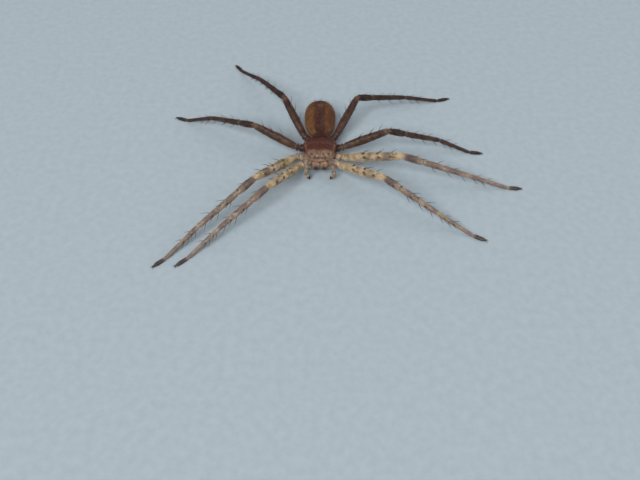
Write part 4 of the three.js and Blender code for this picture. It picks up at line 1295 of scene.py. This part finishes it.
def chest_rings():
    """The breastplate and what lies over it, up to the plate."""
    high = PLATE_FLOOR - GAP - CHEST_BOTTOM
    t = np.linspace(0.02, 0.98, CHEST_ROWS)
    turns = np.arange(CHEST_SIDES) * 2 * math.pi / CHEST_SIDES
    y = np.broadcast_to(-np.cos(math.pi * t)[:, None], (CHEST_ROWS, CHEST_SIDES))
    r = np.sin(math.pi * t)[:, None]
    u, w = r * np.cos(turns), r * np.sin(turns)
    upper = ((1 - CHEST_LOW) * high + GAP + 0.1) * np.abs(w) ** 0.5
    z = CHEST_BOTTOM + CHEST_IN + CHEST_LOW * high + np.where(w > 0, upper, CHEST_LOW * high * w)
    x = (0.5 * CHEST_WIDE - 0.05) * u * (1 - CHEST_NARROW * y)
    return np.stack([x, CHEST_MIDDLE + 0.5 * CHEST_LONG * y, z], 2)


lumps = [chest_rings()] + [lobe_rings(knots, 20, 14)[0] for knots in (WAIST, LIP)]
for (_, side), knots in itertools.product(SIDES, (MOUTH_LOBE, PALP_NECK)):
    lumps.append(lobe_rings([(side * x, *rest) for x, *rest in knots], 20, 16)[0])
print("lumps of the underside:", len(lumps))

# %% The underside's skin
UNDER_VOXEL, UNDER_SMOOTH = 0.09, 4
points, tris = melted(lumps, UNDER_VOXEL, UNDER_SMOOTH)
x, y, z = points.T
plate = np.hypot(x / (0.5 * CHEST_WIDE), (y - CHEST_MIDDLE) / (0.5 * CHEST_LONG))
below = 1 - between(z, 2.6, 3.2)
brown = 0.7 * bump_at(plate, 0.86, 0.08) * below + 0.35 * between(-y, 2.7, 3.0) * below
pale = 0.5 * (1 - below) + 0.8 * between(-y, 3.25, 3.45) * below
marks = np.clip(np.stack([brown, pale, np.zeros_like(x)], 1), 0, 1)
UNDER_SKIN = wrapped(points, tris, np.full(len(x), 0.35), below * (y < 4.2), marks)
UNDER_NODES = ("sternum", "pedicel", "labium", "maxilla_R", "maxilla_L")
add_skin("underside_skin", UNDER_SKIN, under_cuticle, "underside", UNDER_NODES)
print("triangles in the underside:", len(tris))

# %% [markdown]
# ## The abdomen
# The abdomen is a soft bag of skin, so it has no hard edges, only shallow folds and four small
# pits where muscles hold it from inside. Its flanks are ochre, and its back is brown and finely
# mottled, with a darker wedge in front and faint chevrons behind. A sculpted egg would look much
# the same. An egg from a formula keeps to the solid's outline on every side.

# %% Abdomen skin: thin soft cuticle, finely folded
# It is matt under its hair, with no highlight of its own. The folds are about 0.05 mm apart and
# are drawn at 0.2 mm so that they show.
BACK_BROWN, BACK_LIGHT, BACK_DARK, BACK_PALE = "4c2c23", "5f3d30", "36221c", "a3835c"
FLANK_OCHRE, FLANK_LIGHT = "6d4a28", "805a34"
FOLD_MM, FOLD_DEEP = 0.2, 0.06
abdomen_shader = {"IOR": 1.5, "Roughness": 0.7, "Specular IOR Level": 0.25}
abdomen_skin, tree, surface = new_material("abdomen_skin", abdomen_shader)
ochre = mix(tree, speckle(tree, 1.2, 0.38, 0.62), FLANK_OCHRE, FLANK_LIGHT)
plain = mix(tree, speckle(tree, 0.5, 0.4, 0.62), BACK_BROWN, BACK_LIGHT)
coloured(tree, surface, marked_colour(tree, plain, BACK_DARK, BACK_PALE, SPOT_BLACK, ochre))
folds = speckle(tree, FOLD_MM, 0.25, 0.75, detail=4, stretch=(1, 0.6, 1))
dented(tree, surface, folds, FOLD_DEEP, 0.7)
print("abdomen skin nodes:", len(tree.nodes))

# %% The egg
ABDOMEN_WIDE, ABDOMEN_HIGH, ABDOMEN_DROOP = 9, 6.8, 4.5
ABDOMEN_COAT = 0.16  # how far the skin lies inside the solid, to leave room for the hair
ABDOMEN_ROWS, ABDOMEN_SIDES = 110, 128
BLUNT_FRONT, BLUNT_REAR = 3.1, 2.1


def abdomen_place(points):
    """From along the abdomen's own axis to the body, with its droop."""
    a = -math.radians(ABDOMEN_DROOP)
    droop = np.array([[1, 0, 0], [0, math.cos(a), -math.sin(a)], [0, math.sin(a), math.cos(a)]])
    return np.asarray(points) @ droop.T + [0, ABDOMEN_FRONT, ABDOMEN_MIDDLE]


v = -np.cos(math.pi * np.linspace(0.008, 0.992, ABDOMEN_ROWS))
blunt = np.where(v < 0, BLUNT_FRONT, BLUNT_REAR)
girth = ((1 - np.abs(v) ** blunt) ** (1 / blunt) * (1 + 0.1 * v))[:, None]
turns = np.arange(ABDOMEN_SIDES) * 2 * math.pi / ABDOMEN_SIDES
x = (0.5 * ABDOMEN_WIDE - ABDOMEN_COAT) * girth * np.cos(turns) * (1 + 0.08 * np.sin(turns))
z = (0.5 * ABDOMEN_HIGH - ABDOMEN_COAT) * girth * np.sin(turns)
y = np.broadcast_to((0.5 * ABDOMEN_LONG - 0.1) * (1 + v)[:, None] + 0.1, x.shape)
egg = np.stack([x, y, z], 2)
print("girth of the abdomen's skin:", np.ptp(x).round(1), "by", np.ptp(z).round(1))

# %% Folds and pits of the abdomen
MUSCLE_PITS = ((0.85, 5.2), (1.15, 8.2))  # place across and along
above = between(z, 0.5, 2.4)
folds = noise_at(egg.reshape(-1, 3) * [0.35, 1, 0.35], 1.1, 6).reshape(x.shape)
relief = -0.06 * (1 - folds) * (1 - above)
for pit_x, pit_y in MUSCLE_PITS:
    relief = relief - 0.2 * bump_at(np.hypot(np.abs(x) - pit_x, y - pit_y), 0, 0.28) * above
furrow = bump_at(np.abs(x), 0, 0.5) * above * between(y, 2, 4) * (1 - between(y, 9, 11))
relief = relief - 0.05 * furrow
out = unit(np.stack([x / 4.4**2, (y - 7.5) / 7.5**2, z / 3.6**2], 2))
egg = egg + out * relief[..., None]
print("deepest pit:", round(-relief.min(), 2))

# %% Dark markings of the abdomen
CHEVRONS = (8.6, 10.2, 11.6, 12.8)  # places along it
mottle = noise_at(egg.reshape(-1, 3), 0.9, 2).reshape(x.shape)
fine = noise_at(egg.reshape(-1, 3), 0.4, 9).reshape(x.shape)
broad = noise_at(egg.reshape(-1, 3) * [1, 0.6, 1], 1.7, 15).reshape(x.shape)
belly = between(-z, 0.6, 2.0)
slanted = y - 0.5 * np.abs(x)
wedge = bump_at(x, 0, 0.5) * between(y, 1.2, 2.0) * (1 - between(y, 5.5, 7.0)) * above
chevrons = sum(bump_at(slanted, place, 0.28) for place in CHEVRONS) * bump_at(x, 0, 1.9) * above
dots = sum(bump_at(np.hypot(np.abs(x) - px, y - py), 0, 0.26) for px, py in MUSCLE_PITS) * above
brown = 0.8 * wedge + 0.65 * chevrons + 0.6 * between(mottle, 0.55, 0.75)
brown = brown + 0.4 * between(fine, 0.6, 0.8) + 0.6 * (1 - between(y, 0.3, 1.6))
brown = brown * (1 - 0.6 * belly) + 0.5 * bump_at(np.abs(x), 1.0, 0.16) * belly
print("share of the abdomen in dark marks:", round(float((brown > 0.5).mean()), 2))

# %% Ochre flanks and pale markings of the abdomen
# The ochre is fainter on the front of the left flank, which is painted shade, and it covers the
# belly.
flank = between(np.abs(x) + 0.9 * (mottle - 0.5) + 1.1 * (broad - 0.5), 1.0, 1.8)
flank = np.maximum(flank * (1 - 0.5 * between(x, 1.0, 2.5) * (1 - between(y, 7, 10))), belly)
pale = 0.6 * between(fine * mottle, 0.34, 0.5) * (0.4 + 0.6 * flank)
pale = pale + 0.35 * between(broad, 0.62, 0.8) * above + 0.7 * belly
pale = pale + 0.3 * bump_at(slanted, 9.4, 0.3) * above * bump_at(x, 0, 2.0)
pale = pale + 0.4 * bump_at(np.hypot(x - 0.2, (y - 9.6) / 1.7), 0, 0.8) * above * (0.5 + fine)
marks = np.clip(np.stack([brown, pale, 0.8 * dots], 2), 0, 1)
print("share of the abdomen that is ochre:", round(float(flank.mean()), 2))

# %% The abdomen's skin
rings = abdomen_place(egg)
lie = np.broadcast_to(abdomen_place([[0, 1, 0]]) - abdomen_place([[0, 0, 0]]), rings.shape)
coat, grow = 0.75 + 0.25 * between(y, 9, 14), 0.6 + 0.4 * above
ABDOMEN_SKIN = ring_skin(rings, lie, coat, grow, marks, flank)
add_skin("abdomen_skin", ABDOMEN_SKIN, abdomen_skin, "abdomen", ["abdomen"])
print("triangles in the abdomen:", len(ABDOMEN_SKIN["tris"]))

# %% [markdown]
# ## Spinnerets
# Three pairs of short, jointed nozzles stand behind the abdomen on a low mound. Each has a stout
# first piece and a small tip, and at rest they lie close together. They could stay separate
# cones, but they rise out of one soft skin, so they are melted together as the underside was.

# %% Spinnerets
SPINNERETS = ((0.42, -0.85, 0.36, 1.5), (0.22, -0.55, 0.26, 1.1), (0.5, -0.25, 0.3, 1.6))
NOZZLE_KNOTS = (  # start, share of its length, spread, share of its height, share of its girth
    (0.7, 0, 0.8, 1.0, 1.0), (0.6, 0.45, 1.0, 1.02, 0.95), (0.6, 0.62, 1.1, 1.05, 0.74),
    (0.6, 0.8, 1.12, 1.05, 0.72), (0.6, 1, 1.15, 1.05, 0.3),
)
MOUND_KNOTS = ((-0.3, 0.9, 0.75), (0.3, 0.85, 0.7), (0.9, 0.7, 0.6), (1.25, 0.42, 0.36))
MOUND_HEIGHT = -0.55
SPINNERET_VOXEL, SPINNERET_SMOOTH = 0.06, 2
root = ABDOMEN_LONG - 0.25
mound = [(*abdomen_place((0, root + along, MOUND_HEIGHT)), *girth) for along, *girth in MOUND_KNOTS]
lumps = [lobe_rings(mound, 24, 16)[0]]
for (x, z, thick, long), side in itertools.product(SPINNERETS, (-1, 1)):
    knots = [
        (*abdomen_place((side * x * spread, root + start + share * long, z * height)),
         girth * thick, girth * thick)
        for start, share, spread, height, girth in NOZZLE_KNOTS
    ]
    lumps.append(lobe_rings(knots, 20, 22, FINE_IN)[0])
points, tris = melted(lumps, SPINNERET_VOXEL, SPINNERET_SMOOTH)
behind = points[:, 1] - points[:, 1].min()
brown = 0.3 + 0.5 * between(behind, 1.4, 2.2)
marks = np.stack([brown, 0.3 * bump_at(behind, 1.5, 0.15), np.zeros_like(brown)], 1)
SPINNERET_SKIN = wrapped(points, tris, np.full(len(brown), 0.4), 0.3 + between(behind, 0.5, 1), marks)
add_skin("spinnerets_skin", SPINNERET_SKIN, under_cuticle, "spinnerets", ["spinnerets"])
print("triangles in the spinnerets:", len(tris))

# %% [markdown]
# ## The coat
# A huntsman's velvet is thousands of short hairs that lie towards the tips of the legs and the
# rear of the abdomen. Particle hair would be the usual way, but it is lost when a model leaves
# Blender. So each tuft here is mesh: a closed three-sided sliver, wider than it is thick, bent
# down to the skin. Tufts are scattered by area, so large and small faces get their share, and every
# tuft reads its markings from its own root. That lets the pattern of the skin run through the coat.

# %% Hair: fine bristles of chitin, grown in the mass
# Each hair is glossy, but crossed by the thousand they look matt, like velvet. Each is a little
# lighter or darker than the next, and the lightest fifth are a little bleached. The grain along a
# hair is far too fine to show and is drawn at 0.1 mm.
HAIR_SHADES = {  # plain, brown, pale, black, and the second plain colour
    # The leg hair's second plain colour is the hind legs' darker red, partly own colour, partly painted
    # shade.
    "leg": ("c9baa3", "80706c", "dfbd95", "2a201c", "431c18"),
    "carapace": ("56261e", "2f1611", "d0aa90", "221a17", "917562"),
    "abdomen": ("63352c", "3a1f1a", "b8966a", "221a17", "80552f"),
    "underside": ("b09a78", "6a4f3f", "d2b99b", "221a17", "8a7052"),
    "jaw": ("8f7061", "45271f", "dcb8a6", "221a17", "8f7061"),
}
LEG_HAIR_OLIVE, HAIR_SHADE, HAIR_BLEACHED = "a08e5a", "c4bcb6", "cab8a4"
BLEACHED_FROM, BLEACHED_MOST = 0.8, 0.12
HAIR_GRAIN_MM, HAIR_GRAIN_DEEP = 0.1, 0.005
hair_shader = {"IOR": CHITIN_IOR, "Roughness": 0.6, "Specular IOR Level": 0.2}
HAIR = {}
for part, (plain, brown, pale, black, far) in HAIR_SHADES.items():
    HAIR[part], tree, surface = new_material(f"hair_{part}", hair_shader)
    if part == "leg":
        plain = mix(tree, speckle(tree, *OLIVE_PATCH), plain, LEG_HAIR_OLIVE)
    marked = marked_colour(tree, plain, brown, pale, black, far)
    fleck = put(tree, "Attribute", attribute_name="fleck").outputs["Fac"]
    varied = mix(tree, fleck, mix(tree, 1.0, marked, HAIR_SHADE, "MULTIPLY"), marked)
    spread = {"Value": fleck, "From Min": BLEACHED_FROM, "To Max": BLEACHED_MOST}
    bleached = put(tree, "MapRange", spread).outputs[0]
    coloured(tree, surface, mix(tree, bleached, varied, HAIR_BLEACHED))
    dented(tree, surface, speckle(tree, HAIR_GRAIN_MM, 0.3, 0.7), HAIR_GRAIN_DEEP, 0.3)
print("hair materials:", list(HAIR))

# %% Roots by area


def rooted(skin, count, rng):
    """Random roots on a skin, as many to each patch of it as its area and growth say."""
    a, b, c = (skin["points"][skin["tris"][:, i]] for i in range(3))
    area = np.linalg.norm(np.cross(b - a, c - a), axis=1)
    weight = area * skin["grow"][skin["tris"]].mean(1)
    face = rng.choice(len(area), count, p=weight / weight.sum())
    s, t = rng.random((2, count))
    s, t = np.where(s + t > 1, 1 - s, s), np.where(s + t > 1, 1 - t, t)
    share, corners = np.stack([1 - s - t, s, t], 1), skin["tris"][face]
    kept = {key: skin[key] for key in ("points", "lie", "coat", "marks", "tone")}
    kept["out"] = normals_of(skin["points"], skin["tris"])
    root = {key: np.einsum("ij,ij...->i...", share, kept[key][corners]) for key in kept}
    root["out"] = unit(root["out"])
    root["patch"] = np.einsum("ij,ijk->ik", share, skin["unwrap"][face])
    return root


# %% [markdown]
# ### One tuft
# A tuft has seven points: three at its root, three half way and one at its tip. Its unwrap is a
# small patch at the place of its root, so a colour baked for it is the colour of that place.

# %% One tuft
TUFT_POINTS = 7
TUFT_TURNS = (90, 210, 330)
TUFT_FACES = np.array(
    [[0, 1, 2]]
    + [f for i, j in ((0, 1), (1, 2), (2, 0)) for f in ([i, 3 + j, j], [i, 3 + i, 3 + j])]
    + [[3 + i, 6, 3 + j] for i, j in ((0, 1), (1, 2), (2, 0))]
)
TUFT_PATCH = np.array([[0, 0], [0.5, 0.12], [1, 0], [0, 0.5], [0.5, 0.62], [1, 0.5], [0.5, 1]]) - 0.5
PATCH_SIZE = 0.003
TUFT_SUNK, TUFT_FLAT, TUFT_TAPER, TUFT_DROOP = 0.03, 0.55, 0.8, 0.75


def tuft_points(root, side, lie, length, angle, half):
    """The points of every tuft (tufts, 7, 3), from its root, way, length, lift and half width."""
    out, rise, run = root["out"], np.sin(angle)[:, None], np.cos(angle)[:, None]
    base = root["points"] - out * TUFT_SUNK
    middle = root["points"] + (lie * run + out * rise) * (0.5 * length)[:, None]
    tip = root["points"] + (lie * run + out * rise * TUFT_DROOP) * length[:, None]
    points = np.empty((len(length), TUFT_POINTS, 3))
    for i, turn in enumerate(np.radians(TUFT_TURNS)):
        around = side * math.cos(turn) + (out * run - lie * rise) * TUFT_FLAT * math.sin(turn)
        points[:, i] = base + around * half[:, None]
        points[:, 3 + i] = middle + around * (TUFT_TAPER * half)[:, None]
    points[:, 6] = tip
    points[..., 2] = np.clip(points[..., 2], HAIR_CLEAR, CEILING)
    return points


print("triangles in a tuft:", len(TUFT_FACES))

# %% A coat
STRAY_LONG, STRAY_THIN, STRAY_LIFT = 1.6, 0.5, (28, 60)


def grow_coat(name, skin, count, hair, slot, seed, thick, lift, stray, wild):
    """A coat of closed tufts over a skin, as one mesh. Returns its number of triangles."""
    rng = np.random.default_rng(seed)
    root = rooted(skin, count, rng)
    lie = root["lie"] + rng.normal(0, wild, (count, 3))
    lie = unit(lie - root["out"] * np.einsum("ij,ij->i", lie, root["out"])[:, None])
    free = rng.random(count) < stray
    length = root["coat"] * rng.uniform(0.7, 1.25, count) * np.where(free, STRAY_LONG, 1)
    stray_lift, own_lift = rng.uniform(*STRAY_LIFT, count), lift * rng.uniform(0.5, 1.6, count)
    angle = np.radians(np.where(free, stray_lift, own_lift))
    half = thick * rng.uniform(0.75, 1.25, count) * np.where(free, STRAY_THIN, 1)
    points = tuft_points(root, np.cross(lie, root["out"]), lie, length, angle, half)
    tris = (TUFT_FACES[None] + TUFT_POINTS * np.arange(count)[:, None, None]).reshape(-1, 3)
    patch = np.clip(root["patch"][:, None] + PATCH_SIZE * TUFT_PATCH[None], 0.001, 0.999)
    unwrap = patch.reshape(-1, 2)[tris.ravel()]
    marks, tone = (np.repeat(root[key], TUFT_POINTS, axis=0) for key in ("marks", "tone"))
    shape = (points.reshape(-1, 3), tris)
    piece = add_piece(name, *shape, HAIR[hair], slot, (), marks, tone, unwrap)
    fleck = np.repeat(rng.random(count), TUFT_POINTS)
    keep_values(piece.data, "fleck", "FLOAT", "value", fleck)
    return len(tris)


# %% [markdown]
# ### Coats for every part
# The coat is longest on the abdomen. On the legs its tufts are as wide as there, but shorter. They
# are longest on the femur and shorten from there to the body and to the foot. Everywhere else
# tufts are narrower. The coat stands up most on the jaws. The lengths could be given here as well,
# but each skin already says its own. What is left is a table: how many tufts, which hair, how
# thick, how far lifted, how many astray and how wild.

# %% Coats
THIN_OUT = 1.0
LEG_COAT = (0.05, 14, 0.05, 0.12)  # half width, lift in degrees, share astray, wildness
FINE_COAT = (0.035, 14, 0.05, 0.12)
JAW_COAT = (0.035, 22, 0.12, 0.2)
coats = [
    (f"leg_{name}_coat", skin, 11000, "leg", "leg", 20 + i, LEG_COAT)
    for i, (name, skin) in enumerate(LEG_SKINS.items())
]
for i, (letter, skin) in enumerate(PALP_SKINS.items()):
    coats.append((f"palp_{letter}_coat", skin, 2200, "leg", "leg", 40 + i, FINE_COAT))
for i, (letter, skin) in enumerate(JAW_SKINS.items()):
    coats.append((f"chelicera_{letter}_coat", skin, 900, "jaw", "jaw", 50 + i, JAW_COAT))
coats += [
    ("carapace_coat", PLATE_SKIN, 9000, "carapace", "carapace", 60, (0.035, 10, 0.02, 0.2)),
    ("abdomen_coat", ABDOMEN_SKIN, 19000, "abdomen", "abdomen", 61, (0.05, 14, 0.06, 0.25)),
    ("underside_coat", UNDER_SKIN, 3000, "underside", "underside", 62, FINE_COAT),
    ("spinnerets_coat", SPINNERET_SKIN, 900, "abdomen", "spinnerets", 63, (0.03, 14, 0.05, 0.12)),
]
coat_faces = 0
for name, skin, count, hair, slot, seed, style in coats:
    coat_faces += grow_coat(name, skin, int(count * THIN_OUT), hair, slot, seed, *style)
print("triangles in the coat:", coat_faces)

# %% [markdown]
# ## Floor and light
# A plain pale floor shows the form without taking part in it. A studio would bend a sheet of card
# up behind the model. Here a flat square is enough, so wide that the camera sees no edge of it.

# %% Floor: matt card, pressed and uncoated
# It has no gloss, so to the eye it is an even tone that only takes the shadow. Its fibres are too
# fine to show, and its cloudiness is drawn 2 mm wide.
CARD_DARK, CARD_LIGHT, CARD_CLOUD_MM = "7f898f", "858f95", 2.0
FLOOR_HALF = 3.0  # metres
matt_card, tree, surface = new_material("matt_card", {"Roughness": 0.85})
coloured(tree, surface, mix(tree, speckle(tree, CARD_CLOUD_MM, 0.3, 0.7), CARD_DARK, CARD_LIGHT))
corners = [(FLOOR_HALF * x, FLOOR_HALF * y, 0) for x, y in ((-1, -1), (1, -1), (1, 1), (-1, 1))]
floor_mesh = bpy.data.meshes.new("floor")
floor_mesh.from_pydata(corners, [], [(0, 1, 2, 3)])
floor_mesh.materials.append(matt_card)
floor = bpy.data.objects.new("floor", floor_mesh)
bpy.context.scene.collection.objects.link(floor)
print("floor:", 2 * FLOOR_HALF, "m wide")

# %% [markdown]
# ## Lamps and sky
# One hard lamp would throw black shadows. Two large soft lamps and a pale sky show the form
# instead. The main lamp stands in front on the right side of the spider, so that the legs throw a
# soft shadow, and a wider one fills from the other side. Both stand far off, so that the light is
# even over the floor.

# %% Lights
LAMPS = (  # name, place in metres, size in metres, power in watts
    ("key", (-0.64, -1.36, 1.68), 1.2, 73),
    ("fill", (1.6, 0.2, 1.52), 2.2, 26),
)
SKY, SKY_STRENGTH = "dfe4e8", 0.55
for name, (x, y, z), size, power in LAMPS:
    lamp = bpy.data.lights.new(name, "AREA")
    lamp.size, lamp.energy = size, power
    light = bpy.data.objects.new(name, lamp)
    light.location = (x, y, z)
    light.rotation_euler = (math.atan2(math.hypot(x, y), z), 0, math.atan2(x, -y))
    bpy.context.scene.collection.objects.link(light)
world = bpy.data.worlds.new("studio")
bpy.context.scene.world = world
world.use_nodes = True
background = world.node_tree.nodes["Background"]
background.inputs["Color"].default_value = linear(SKY)
background.inputs["Strength"].default_value = SKY_STRENGTH
bpy.context.scene.view_settings.view_transform = "Standard"
print("lamps:", [lamp[0] for lamp in LAMPS])
